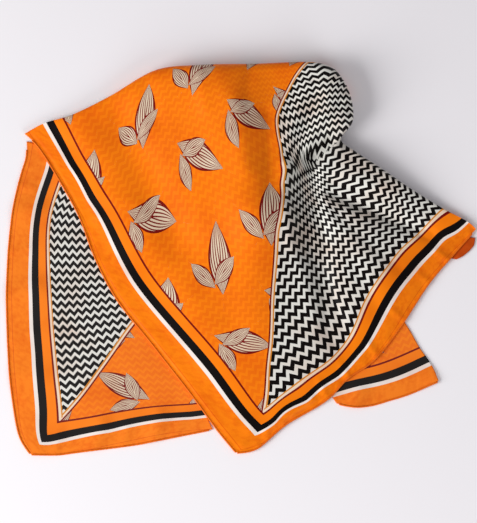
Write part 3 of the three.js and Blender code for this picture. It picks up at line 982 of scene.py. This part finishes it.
    def colour(self, desk: NodeDesk) -> Value:
        """The print's colour at each place of the cloth, with painted shade laid over it.

        Args:
            desk: Where the nodes go.

        Returns:
            The colour.
        """
        edge, painted_shade = self.border, self.painted_shade
        near_u, near_v = (
            desk.add("Math MINIMUM", way, desk.add("Math SUBTRACT", SQUARE_SIDE, way))
            for way in (desk.u, desk.v)
        )
        depth = desk.add("Math MINIMUM", near_u, near_v)
        beyond = desk.add("Math MULTIPLY", desk.add("Math SUBTRACT", near_v, near_u), math.sqrt(0.5))
        in_zigzag = desk.add("Math GREATER_THAN", beyond, 0.0)
        colour = self.laid(desk, self.fields(desk, in_zigzag), beyond, (
            (-self.line_outer, -self.line_half, self.red),
            (-self.line_half, self.line_half, self.line_white),
            (self.line_half, self.line_outer, self.gold),
        ))
        colour = self.laid(desk, colour, depth, (
            (edge.field_from, edge.gold_from, self.line_white),
            (edge.gold_from, edge.zigzag_from, self.gold),
        ), in_zigzag)
        colour = self.laid(desk, colour, depth, (
            (-SQUARE_SIDE, edge.white_from, self.orange),
            (edge.white_from, edge.black_from, self.white),
            (edge.black_from, edge.inner_orange_from, self.black),
            (edge.inner_orange_from, edge.red_from, self.orange),
            (edge.red_from, edge.field_from, self.red),
        ))
        # Painted shade: a darker band along the hem's crease
        crease = ((edge.crease_shade_from, edge.crease_shade_to, painted_shade.crease),)
        colour = self.laid(desk, colour, depth, crease, painted_shade.crease_share)
        # Painted shade, multiplied in: slow random drifts, and streaks across the hem band where it
        # puckers
        drift = desk.add("TexNoise", Vector=desk.add("CombineXYZ", desk.u, desk.v),
                         Scale=painted_shade.drift_scale, Detail=4.0)
        streak = desk.add("TexNoise", Vector=desk.add("CombineXYZ", near_u, near_v),
                          Scale=painted_shade.band_scale, Detail=3.0)
        in_band = desk.add("Math LESS_THAN", depth, edge.white_from)
        drawn = desk.add("Math MULTIPLY", desk.add("Math SUBTRACT", streak, painted_shade.band_from), in_band)
        slow = desk.add("Math MULTIPLY", desk.add("Math SUBTRACT", drift, painted_shade.drift_from),
                        painted_shade.drift_gain)
        share = desk.add("Math MULTIPLY_ADD", drawn, painted_shade.band_gain, slow, use_clamp=True)
        return desk.add("Mix", share, colour, linear(painted_shade.shade_tint), data_type="RGBA",
                        blend_type="MULTIPLY")

    def build(self) -> bpy.types.Material:
        """Make the material.

        Returns:
            The material.
        """
        desk = NodeDesk(self.name)
        desk.measure(desk.add("UVMap", uv_map=CLOTH_UV))
        desk.feed(desk.shader.inputs["Base Color"], self.colour(desk))
        self.finish.put_on(desk, self.roughness)
        return desk.material


@dataclass(frozen=True)
class PlainSilk:
    """Orange silk of the hidden layers, the turned corner and the rolled hem, with its ribs and a soft
    sheen. Its default colours are darkened as painted shade, since the hidden layers and the turned
    corner lie in shadow; the rolled hem takes its own brighter colours.
    """

    name: str
    # Darkened orange as painted shade, with a noise that drifts at random towards the darker colour
    colour: str = "D9560C"
    shade: str = "B23F08"
    shade_scale: float = 60.0
    roughness: float = 0.5
    finish: SilkFinish = field(default_factory=SilkFinish)

    def build(self) -> bpy.types.Material:
        """Make the material.

        Returns:
            The material.
        """
        desk = NodeDesk(self.name)
        place = desk.add("TexCoord").outputs["Object"]
        desk.measure(place)
        drift = desk.add("TexNoise", Vector=place, Scale=self.shade_scale, Detail=3.0)
        colour = desk.add("Mix", drift, linear(self.colour), linear(self.shade), data_type="RGBA")
        desk.feed(desk.shader.inputs["Base Color"], colour)
        self.finish.put_on(desk, self.roughness)
        return desk.material


@dataclass
class SplitPrint:
    """The front's print: two maps that part sharply at the overlap crease and blend beyond it."""

    loop: PrintMap = field(default_factory=lambda: PrintMap(FRONT_MARKS + LOOP_MARKS))
    ridge: PrintMap = field(default_factory=lambda: PrintMap(FRONT_MARKS + RIDGE_MARKS))
    notch: Plan = Plan(140, 166)
    focus: Plan = Plan(97, 131)
    sharp: float = 0.6
    blend_from: float = 40.0
    blend_rate: float = 0.9

    def loop_share(self, x: np.ndarray, y: np.ndarray) -> np.ndarray:
        """How far each place in plan takes the loop's print.

        Args:
            x: Places in plan.
            y: Places in plan.

        Returns:
            Shares from 0 to 1.
        """
        run = np.array([self.focus.x - self.notch.x, self.focus.y - self.notch.y], float)
        run /= np.linalg.norm(run)
        from_x, from_y = x - self.notch.x, y - self.notch.y
        along, over = from_x * run[0] + from_y * run[1], from_x * run[1] - from_y * run[0]
        width = self.sharp + np.maximum(along - self.blend_from, 0) * self.blend_rate
        share = np.clip(over / width / 2 + 0.5, 0, 1)
        return share**2 * (3 - 2 * share)

    def at(self, x: np.ndarray, y: np.ndarray) -> tuple[np.ndarray, np.ndarray]:
        """Print coordinates at places in plan.

        Args:
            x: Places in plan.
            y: Places in plan.

        Returns:
            The distances u and v from the cloth's two hems, in millimetres.
        """
        share = self.loop_share(x, y)
        (loop_u, loop_v), (ridge_u, ridge_v) = self.loop.at(x, y), self.ridge.at(x, y)
        return loop_u * share + ridge_u * (1 - share), loop_v * share + ridge_v * (1 - share)

    def corners(self, plan: np.ndarray, quads: np.ndarray) -> np.ndarray:
        """Print coordinates at each corner of each face, so that no face lies on both sides.

        Args:
            plan: Plan places of the points.
            quads: Point indices of each face.

        Returns:
            An array of faces by corners by u and v.
        """
        share = self.loop_share(plan[:, 0], plan[:, 1])[quads]
        middle = plan[quads].mean(axis=1)
        side = np.round(self.loop_share(middle[:, 0], middle[:, 1]))
        split = np.ptp(share, axis=1) > 0.5
        share[split] = side[split, None]
        share = share[..., None]
        loop = np.column_stack(self.loop.at(plan[:, 0], plan[:, 1]))[quads]
        ridge = np.column_stack(self.ridge.at(plan[:, 0], plan[:, 1]))[quads]
        return loop * share + ridge * (1 - share)


@dataclass
class FrontStretch:
    """The upper stretch of cloth: two hemmed sides, and a soft roll along its other two.

    Lengths are in millimetres. The shell is a grid that is denser towards the roll, with rings
    that take the roll down to the floor and tuck it in. arc_share says how far the print runs
    on over the roll, rise_reach how far in from its hems the cloth has risen, and crown_share
    how high it lies inside the roll. The point_ values shape the corner where the hems meet.
    """

    columns: int = 200
    rows: int = 200
    roll_rings: int = 8
    tuck: float = 6.0
    tuck_reach: float = 60.0
    arc_share: float = 1.15
    ridge_density: float = 1.35
    across: float = 560.0
    rise_reach: float = 76.0
    roll_width_share: float = 0.75
    crown_share: float = 0.8
    crown_blend: float = 0.02
    lowest_crown: float = 6.5
    point_inset: float = 0.5
    point_rise: float = 1.45
    point_ease: float = 0.07
    end_ease: float = 0.1
    fastest_print: float = 1.2
    print_map: SplitPrint = field(default_factory=SplitPrint)

    def patch(self) -> Patch:
        """The stretch's four sides in plan.

        Returns:
            The sides, set in from the rolled hems.
        """
        left_hem, right_hem = Curve.through(FRONT_LEFT_HEM), Curve.through(FRONT_RIGHT_HEM)
        start = FRONT_LEFT_HEM[0]
        corner = np.array(
            [start.x + self.point_inset, start.y + SHELL_SET_BACK * self.point_rise])
        left = left_hem.shifted(SHELL_SET_BACK).starting_at(corner, self.point_ease)
        bottom = right_hem.shifted(-SHELL_SET_BACK).starting_at(corner, self.point_ease)
        top = Curve.through(TOP_ROLL).starting_at(left(1.0)[0], self.end_ease)
        right = Curve.through(RIGHT_ROLL).starting_at(bottom(1.0)[0], self.end_ease)
        return Patch(left, right, bottom, top)

    def rounding(self, distance: np.ndarray, height: np.ndarray) -> np.ndarray:
        """How far the roll has risen at a distance in from its widest line, from 0 to 1."""
        near = np.minimum(distance / (height * self.roll_width_share), 1)
        return np.sqrt(1 - (1 - near) ** 2)

    def height(self, patch: Patch, a: np.ndarray, b: np.ndarray, places: np.ndarray) -> np.ndarray:
        """Height of the stretch's outer face over the floor.

        Args:
            patch: The stretch's sides.
            a: Shares across, one for each column.
            b: Shares along, one for each row.
            places: Plan places of the grid.

        Returns:
            The height of each grid point, in millimetres.
        """
        from_left, from_right = a[None, :] * self.across, b[:, None] * self.across
        from_top, from_roll = (1 - b)[:, None] * self.across, (1 - a)[None, :] * self.across
        top_height, roll_height = patch.top(a)[None, :, 2], patch.right(b)[:, None, 2]
        top_share = b[:, None] ** 2 + self.crown_blend
        roll_share = a[None, :] ** 2 + self.crown_blend
        crown = (top_height * top_share + roll_height * roll_share) / (top_share + roll_share)
        rise = (1 - np.exp(-from_left / self.rise_reach)) * (
            1 - np.exp(-from_right / self.rise_reach))
        folds = fold_height(FRONT_FOLDS + FRONT_CREASES, places[..., 0], places[..., 1]) * rise
        folds += fold_height(BAND_CREASES, places[..., 0], places[..., 1])
        inner = FRONT_HEM_HEIGHT + (crown * self.crown_share - FRONT_HEM_HEIGHT) * rise + folds
        lowest = FRONT_HEM_HEIGHT + (self.lowest_crown - FRONT_HEM_HEIGHT) * rise
        lifted = np.maximum(inner, lowest)
        edge = np.maximum(crown / 2, FRONT_HEM_HEIGHT)
        shoulder = self.rounding(from_top, top_height) * self.rounding(from_roll, roll_height)
        ripple = (hem_ripple(from_left, patch.left(b)[:, None, :2])
                  + hem_ripple(from_right, patch.bottom(a)[None, :, :2]))
        return edge + (lifted + ripple - edge) * shoulder

    def dense(self, count: int) -> np.ndarray:
        """Shares from 0 to 1 that lie closer together towards the roll."""
        return 1 - (1 - np.linspace(0, 1, count + 1)) ** self.ridge_density

    def rings(self, rim: np.ndarray, rim_print: np.ndarray,
              ) -> tuple[list[np.ndarray], list[np.ndarray]]:
        """The rings that take the roll from its widest line down to the floor.

        Args:
            rim: Points of the stretch's edge along the roll.
            rim_print: The print's coordinates there.

        Returns:
            Each ring's points and their print coordinates.
        """
        ahead = np.empty_like(rim[:, :2])
        ahead[1:-1] = rim[2:, :2] - rim[:-2, :2]
        ahead[0], ahead[-1] = rim[1, :2] - rim[0, :2], rim[-1, :2] - rim[-2, :2]
        ahead /= np.linalg.norm(ahead, axis=1)[:, None]
        inward = np.column_stack([ahead[:, 1], -ahead[:, 0]])
        from_ends = np.minimum(*(np.linalg.norm(rim - end, axis=1) for end in (rim[0], rim[-1])))
        tuck = self.tuck * np.minimum(1, from_ends / self.tuck_reach)
        beyond = self.print_map.at(*(rim[:, :2] - inward).T)
        print_rate = np.clip(
            np.column_stack(beyond) - rim_print, -self.fastest_print, self.fastest_print)
        points, prints = [], []
        for ring in range(1, self.roll_rings + 1):
            turn = ring / self.roll_rings * math.pi / 2
            lower = rim.copy()
            lower[:, :2] += inward * (tuck * (1 - math.cos(turn)))[:, None]
            lower[:, 2] = rim[:, 2] * (1 - math.sin(turn)) + SHELL_WALL * math.sin(turn)
            arc = (rim[:, 2] * turn / (math.pi / 2) * self.arc_share)[:, None]
            points.append(lower)
            prints.append(rim_print + print_rate * arc)
        return points, prints

    def build(self) -> bpy.types.Object:
        """Make the stretch's shell.

        Returns:
            The cloth object.
        """
        patch = self.patch()
        a, b = self.dense(self.columns), self.dense(self.rows)
        plan = patch.places(a, b)
        height = self.height(patch, a, b, plan)
        grid = np.concatenate([plan, height[..., None]], axis=2)
        u, v = self.print_map.at(plan[..., 0], plan[..., 1])
        rim = np.vstack([grid[-1], grid[-2::-1, -1]])
        rim_print = np.column_stack([np.append(way[-1], way[-2::-1, -1]) for way in (u, v)])
        rings, ring_prints = self.rings(rim, rim_print)
        columns, rows = self.columns + 1, self.rows + 1
        quads = [grid_quads(rows, columns)]
        top_edge = np.arange(columns) + (rows - 1) * columns
        side_edge = (np.arange(rows - 2, -1, -1) + 1) * columns - 1
        upper, first = np.concatenate([top_edge, side_edge]), rows * columns
        for ring in rings:
            lower = first + np.arange(len(ring))
            quads.append(np.column_stack([upper[:-1], upper[1:], lower[1:], lower[:-1]]))
            upper, first = lower, first + len(ring)
        points = np.vstack([grid.reshape(-1, 3), *rings])
        prints = np.vstack([np.stack([u, v], axis=-1).reshape(-1, 2), *ring_prints])
        corners = prints[np.vstack(quads)]
        corners[:len(quads[0])] = self.print_map.corners(points[:rows * columns, :2], quads[0])
        return cloth_object(
            "front_stretch", points, np.vstack(quads), corners.reshape(-1, 2), SHELL_WALL)


class Ledge(NamedTuple):
    """One edge of the hidden layers: how far it stands out, and its share of the height."""

    out: float
    height_share: float


HIDDEN_LEDGES = (Ledge(0, 0.62), Ledge(4, 0.58), Ledge(4, 0.3), Ledge(8, 0.26), Ledge(8, 0.0))


@dataclass
class HiddenLayers:
    """All the layers under the upper stretch, as one rounded form with stepped edges."""

    front: FrontStretch
    cells: int = 110
    inset: float = 0.03
    roll_inset: float = 0.03
    below: float = 3.4
    lowest: float = 0.8
    base_centre: Plan = Plan(40, 60)

    def build(self) -> bpy.types.Object:
        """Make the hidden layers' form, closed at its base.

        Returns:
            The object.
        """
        patch = self.front.patch()
        share = self.front.dense(self.cells)
        share = self.inset + share * (1 - self.inset - self.roll_inset)
        plan = patch.places(share, share)
        height = self.front.height(patch, share, share, plan) - self.below
        height = np.maximum(height, self.lowest)
        grid = np.concatenate([plan, height[..., None]], axis=2)
        count = self.cells + 1
        at = np.arange(count * count).reshape(count, count)
        edge = np.concatenate([at[0, :-1], at[:-1, -1], at[-1, :0:-1], at[:0:-1, 0]])
        on_hem = np.repeat([1.0, 0.0, 0.0, 1.0], count - 1)
        points = [grid.reshape(-1, 3)]
        quads = [grid_quads(count, count)]
        rim = points[0][edge]
        ahead = np.roll(rim, -1, axis=0) - np.roll(rim, 1, axis=0)
        ahead = ahead[:, :2] / np.linalg.norm(ahead[:, :2], axis=1)[:, None]
        outward = np.column_stack([ahead[:, 1], -ahead[:, 0]]) * on_hem[:, None]
        upper, first = edge, count * count
        for ledge in HIDDEN_LEDGES:
            lower = rim.copy()
            lower[:, :2] += outward * ledge.out
            lower[:, 2] = rim[:, 2] * ledge.height_share
            ring = first + np.arange(len(rim))
            points.append(lower)
            quads.append(np.column_stack([upper, ring, np.roll(ring, -1), np.roll(upper, -1)]))
            upper, first = ring, first + len(rim)
        points.append(np.array([[*self.base_centre, 0.0]]))
        base = np.column_stack([upper, np.full(len(upper), first), np.roll(upper, -1)])
        faces = np.vstack(quads).tolist() + base.tolist()
        return cloth_object("hidden_layers", np.vstack(points), faces)


@dataclass
class LyingStretch:
    """A stretch of cloth that lies on the floor, lifted a little where a fold runs."""

    name: str
    patch: Patch
    folds: Sequence[Fold]
    print_map: PrintMap
    columns: int = 90
    rows: int = 120

    def build(self) -> bpy.types.Object:
        """Make the stretch's shell.

        Returns:
            The cloth object.
        """
        a, b = np.linspace(0, 1, self.columns + 1), np.linspace(0, 1, self.rows + 1)
        plan = self.patch.places(a, b)
        height = CLOTH_WALL + fold_height(self.folds, plan[..., 0], plan[..., 1])
        points = np.concatenate([plan, height[..., None]], axis=2).reshape(-1, 3)
        u, v = self.print_map.at(plan[..., 0], plan[..., 1])
        quads = grid_quads(self.rows + 1, self.columns + 1)
        prints = np.stack([u, v], axis=-1).reshape(-1, 2)[quads].reshape(-1, 2)
        return cloth_object(self.name, points, quads, prints, SHELL_WALL)


# How far the lower stretches run in under the front's hems
HIDDEN_REACH = 12


def back_left_patch() -> Patch:
    """The sides of the lower stretch on the left, which runs in under the front's left hem.

    Returns:
        The sides.
    """
    side = Curve.through(BACK_SIDE_HEM).shifted(SHELL_SET_BACK)
    bottom = Curve.through(BACK_BOTTOM_HEM).shifted(-SHELL_SET_BACK)
    corner = np.array([side(0.0)[0, 0], bottom(0.0)[0, 1]])
    hidden = Curve.through(FRONT_LEFT_HEM).shifted(HIDDEN_REACH).part(start=0.12, end=0.94)
    left, low = side.starting_at(corner, share=0.08), bottom.starting_at(corner, share=0.08)
    right = hidden.starting_at(low(1.0)[0], share=0.12)
    return Patch(left, right, low, Curve.between(left(1.0)[0], hidden(1.0)[0]))


def back_right_patch() -> Patch:
    """The sides of the lower stretch on the right, which runs in under the front's right hem.

    Returns:
        The sides.
    """
    point, inset_x, inset_y = BACK_RIGHT_HEM[0], SHELL_SET_BACK * 0.6, SHELL_SET_BACK * 1.3
    corner = np.array([point.x - inset_x, point.y + inset_y])
    hem = Curve.through(BACK_RIGHT_HEM).shifted(SHELL_SET_BACK).starting_at(corner, share=0.1)
    edge = Curve.through(BACK_TURNED_EDGE).reversed().starting_at(corner, share=0.3)
    hidden = Curve.through(FRONT_RIGHT_HEM).shifted(-HIDDEN_REACH).part(start=0.335, end=0.62)
    top = hidden.reversed().starting_at(edge(1.0)[0], share=0.5).reversed()
    return Patch(Curve.between(hem(1.0)[0], hidden(0.0)[0]), edge, hem.reversed(), top)


def turned_corner_patch() -> Patch:
    """The sides of the corner turned back under the right tip.

    Returns:
        The sides.
    """
    outer = Curve.through(TURNED_CORNER_OUTER)
    inner = Curve.through(FRONT_RIGHT_HEM).shifted(-HIDDEN_REACH).part(start=0.87, end=0.945)
    left = Curve.between(outer(1.0)[0], inner(0.0)[0])
    right = Curve.between(outer(0.0)[0], inner(1.0)[0])
    return Patch(left, right, outer.reversed(), inner)


HeightAlong = Callable[[np.ndarray, np.ndarray], np.ndarray]
# The four bends of a stitch over a hem: its angle round the tube in radians, and its way ahead
STITCH_BENDS = ((0.25, -0.5), (1.15, -0.2), (2.0, 0.2), (2.9, 0.5))
# The four sides of a stitch's thread, as shares of its radius ahead and outwards
THREAD_SIDES = ((-1, 0), (0, 1), (1, 0), (0, -1))
THREAD_FACES = np.array([
    [4 * ring + k, 4 * ring + (k + 1) % 4, 4 * ring + 4 + (k + 1) % 4, 4 * ring + 4 + k]
    for ring in range(3) for k in range(4)
] + [[3, 2, 1, 0], [12, 13, 14, 15]])


@dataclass
class RolledHem:
    """A hand-rolled hem: a thin tube that swells a little between its stitches."""

    node: str
    line: Curve
    start: float
    end: float
    height: HeightAlong
    sides: int = 10
    step: float = 1.6
    stitch_pitch: float = 6.5
    swell: float = 0.12
    swell_power: float = 0.6
    end_share: float = 0.6
    measuring_steps: int = 400
    thread_radius: float = 0.22
    thread_seat: float = 0.98

    def centres(self, share: np.ndarray) -> np.ndarray:
        """The tube's centre at shares of the line."""
        plan = self.line(share)[:, :2]
        return np.column_stack([plan, self.height(share, plan)])

    def build(self) -> bpy.types.Object:
        """Make the hem's tube, closed at both ends, and the stitches over it.

        Returns:
            The object.
        """
        fine = self.centres(np.linspace(self.start, self.end, self.measuring_steps))
        length = np.linalg.norm(np.diff(fine, axis=0), axis=1).sum()
        count = int(length / self.step)
        share = np.linspace(self.start, self.end, count + 1)
        centre = self.centres(share)
        ahead = np.gradient(centre, axis=0)
        ahead /= np.linalg.norm(ahead, axis=1)[:, None]
        side = np.column_stack([ahead[:, 1], -ahead[:, 0], np.zeros(len(ahead))])
        side /= np.linalg.norm(side, axis=1)[:, None]
        up = np.cross(side, ahead)
        along = share * length / (self.end - self.start)
        pinch = np.abs(np.sin(math.pi * along / self.stitch_pitch)) ** self.swell_power
        radius = HEM_RADIUS * (1 - self.swell + self.swell * pinch)
        radius[[0, -1]] *= self.end_share
        turn = np.linspace(0, 2 * math.pi, self.sides, endpoint=False)
        ring = (side[:, None, :] * np.cos(turn)[None, :, None]
                + up[:, None, :] * np.sin(turn)[None, :, None])
        points = (centre[:, None, :] + ring * radius[:, None, None]).reshape(-1, 3)
        at = np.arange(len(points)).reshape(-1, self.sides)
        round_on = np.roll(at, -1, axis=1)
        quads = np.stack([at[:-1], round_on[:-1], round_on[1:], at[1:]], axis=-1).reshape(-1, 4)
        caps = [at[0, ::-1].tolist(), at[-1].tolist()]
        first = len(points)
        threads, thread_faces = [points], quads.tolist() + caps
        for spot in np.arange(self.stitch_pitch, length, self.stitch_pitch):
            near = int(np.argmin(np.abs(along - along[0] - spot)))
            if near < 2 or near > count - 2:
                continue
            threads.append(self.stitch(centre[near], ahead[near], side[near], up[near]))
            thread_faces += (THREAD_FACES + first).tolist()
            first += len(threads[-1])
        return cloth_object(f"rolled_{self.node}", np.vstack(threads), thread_faces)

    def stitch(self, centre: np.ndarray, ahead: np.ndarray, side: np.ndarray,
               up: np.ndarray) -> np.ndarray:
        """Points of one slanting stitch that bridges the hem's top and dips into it at both ends.

        Args:
            centre: The tube's centre.
            ahead: The tube's direction.
            side: The direction square to it, level.
            up: The direction square to both.

        Returns:
            Four rings of four points.
        """
        rings = []
        for turn, slant in STITCH_BENDS:
            out = side * math.cos(turn) + up * math.sin(turn)
            middle = centre + out * HEM_RADIUS * self.thread_seat + ahead * slant
            for across, over in THREAD_SIDES:
                rings.append(middle + (ahead * across + out * over) * self.thread_radius)
        return np.array(rings)


class FrontHem(Enum):
    """Which of the front stretch's two hems is meant."""

    LEFT = "left"
    RIGHT = "right"


@dataclass
class Hems:
    """The five lengths of rolled hem that show."""

    front: FrontStretch
    sink: float = 0.1

    def front_centre(self, hem: FrontHem) -> HeightAlong:
        """How high a front hem's centre runs.

        Args:
            hem: Which of the two.

        Returns:
            The function that gives its heights.
        """
        patch, zero = self.front.patch(), np.zeros(1)

        def height(share: np.ndarray, plan: np.ndarray) -> np.ndarray:
            """Heights at shares of the hem, whose plan places aren't needed."""
            a, b = (zero, share) if hem is FrontHem.LEFT else (share, zero)
            return self.front.height(patch, a, b, patch.places(a, b)).ravel() - self.sink

        return height

    def lying_centre(self, folds: Sequence[Fold]) -> HeightAlong:
        """How high the centre of a hem that lies on the floor runs."""
        return lambda share, plan: HEM_RADIUS + fold_height(folds, plan[:, 0], plan[:, 1])

    def all(self) -> list[RolledHem]:
        """The hems, each named as the CAD node that it stands for.

        Returns:
            The hems, not yet built.
        """
        left, right = self.front_centre(FrontHem.LEFT), self.front_centre(FrontHem.RIGHT)
        lying = self.lying_centre(BACK_FOLDS + BACK_CREASES)
        return [
            RolledHem(node, Curve.through(table).shifted(out), start, end, height)
            for node, table, out, start, end, height in (
                ("hem_front_left", FRONT_LEFT_HEM, HEM_RADIUS, 0.006, 0.97, left),
                ("hem_front_right", FRONT_RIGHT_HEM, -HEM_RADIUS, 0.006, 0.975, right),
                ("hem_back_left", BACK_SIDE_HEM, HEM_RADIUS, 0.008, 0.97, lying),
                ("hem_back_bottom", BACK_BOTTOM_HEM, -HEM_RADIUS, 0.012, 0.97, lying),
                ("hem_back_right", BACK_RIGHT_HEM, HEM_RADIUS, 0.02, 0.97,
                 self.lying_centre(RIGHT_FOLDS)),
            )
        ]


class Lamp(NamedTuple):
    """A square soft light: its place and its side in metres, and its power in watts."""

    name: str
    place: tuple[float, float, float]
    side: float
    power: float


@dataclass
class Studio:
    """The floor, the lights and the camera, in metres and degrees."""

    floor_half: float = 7.0
    floor_drop: float = 0.0002
    floor_colour: str = "FBF8FB"
    floor_grain: float = 40.0
    floor_roughness: float = 0.6
    floor_change: float = 0.06
    world_colour: str = "F4F2F6"
    world_strength: float = 0.36
    lamps: tuple[Lamp, ...] = (
        Lamp("key", (-3.0, -1.2, 1.7), 2.2, 142),
        Lamp("fill", (1.8, -3.2, 2.0), 2.0, 48),
    )
    look_at: tuple[float, float, float] = (-0.0037, -0.0074, 0.012)
    elevation: float = 80.0
    distance: float = 3.0
    view_width: float = 0.6664
    sensor: float = 36.0

    def add_floor(self) -> None:
        """A plain pale floor under the scarf, painted with a fine grain."""
        bpy.ops.object.select_all(action="DESELECT")
        bpy.ops.mesh.primitive_plane_add(
            size=2 * self.floor_half, location=(0, 0, -self.floor_drop))
        floor = bpy.context.object
        floor.name = "floor"
        desk = NodeDesk("pale floor")
        place = desk.add("TexCoord").outputs["Object"]
        grain = desk.add("TexNoise", Vector=place, Scale=self.floor_grain, Detail=2.0)
        rough = desk.add("Math MULTIPLY_ADD", grain, self.floor_change, self.floor_roughness)
        desk.feed(desk.shader.inputs["Roughness"], rough)
        desk.feed(desk.shader.inputs["Base Color"], linear(self.floor_colour))
        floor.data.materials.append(desk.material)

    def add_lamp(self, lamp: Lamp) -> None:
        """Put up a light that faces the scarf.

        Args:
            lamp: The light.
        """
        data = bpy.data.lights.new(lamp.name, "AREA")
        data.energy, data.size = lamp.power, lamp.side
        light = bpy.data.objects.new(lamp.name, data)
        bpy.context.collection.objects.link(light)
        light.location = lamp.place
        light.rotation_euler = (-Vector(lamp.place)).to_track_quat("-Z", "Y").to_euler()

    def add_camera(self) -> None:
        """The camera at the photograph's angle."""
        data = bpy.data.cameras.new("camera")
        data.sensor_fit = "HORIZONTAL"
        data.sensor_width = self.sensor
        data.lens = self.sensor * self.distance / self.view_width
        camera = bpy.data.objects.new("camera", data)
        bpy.context.collection.objects.link(camera)
        up = math.radians(self.elevation)
        away = Vector((0, -math.cos(up), math.sin(up))) * self.distance
        camera.location = Vector(self.look_at) + away
        camera.rotation_euler = (-away).to_track_quat("-Z", "Y").to_euler()
        bpy.context.scene.camera = camera

    def build(self) -> None:
        """Make the floor, the lights and the camera."""
        self.add_floor()
        for lamp in self.lamps:
            self.add_lamp(lamp)
        world = bpy.data.worlds.new("soft studio")
        world.use_nodes = True
        back = world.node_tree.nodes["Background"]
        back.inputs["Color"].default_value = linear(self.world_colour)
        back.inputs["Strength"].default_value = self.world_strength
        bpy.context.scene.world = world
        bpy.context.scene.view_settings.view_transform = "Standard"
        self.add_camera()


def dress(obj: bpy.types.Object, material: bpy.types.Material, node: str) -> None:
    """Give a piece its finish and its body, and hide the CAD node that it stands for.

    Args:
        obj: The piece.
        material: Its finish.
        node: The CAD node that it replaces.
    """
    obj.data.materials.clear()
    obj.data.materials.append(material)
    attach(obj, "root")
    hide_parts(node)
    LOG.info("%s: %d faces", obj.name, len(obj.data.polygons))


def main() -> None:
    """Build the scarf's pieces in order, then the studio."""
    logging.basicConfig(level=logging.INFO, format="%(message)s")
    face = PrintedSilkTwill("silk twill, printed").build()
    reverse = PrintedSilkTwill("silk twill, reverse", Side.REVERSE, zigzag_rows=Rows.ACROSS,
                               zigzag_pitch=11.8).build()
    # Darkened silk for the hidden layers and the turned corner: painted shade, as both lie in shadow
    shade = PlainSilk("silk twill, hidden layers in painted shade").build()
    hem_silk = PlainSilk("rolled hem", colour="F07A1C", shade="DE6410", roughness=0.42).build()

    front = FrontStretch()
    front_piece = front.build()
    dress(front_piece, face, "front_cloth")
    left_piece = LyingStretch("back_stretch_left", back_left_patch(), BACK_FOLDS + BACK_CREASES,
                              PrintMap(BACK_LEFT_MARKS)).build()
    dress(left_piece, reverse, "back_cloth_left")
    right_piece = LyingStretch("back_stretch_right", back_right_patch(), RIGHT_FOLDS,
                               PrintMap(BACK_RIGHT_MARKS), columns=70, rows=40).build()
    dress(right_piece, reverse, "back_cloth_right")
    corner_piece = LyingStretch("corner_under_tip", turned_corner_patch(), CORNER_FOLDS,
                                PrintMap(TURNED_MARKS), columns=30, rows=16).build()
    dress(corner_piece, shade, "turned_corner")

    hems = {}
    for hem in Hems(front).all():
        hems[hem.node] = hem.build()
        dress(hems[hem.node], hem_silk, hem.node)

    hidden = HiddenLayers(front).build()
    dress(hidden, shade, "inner_folds")

    Studio().build()


if __name__ == "__main__":
    main()
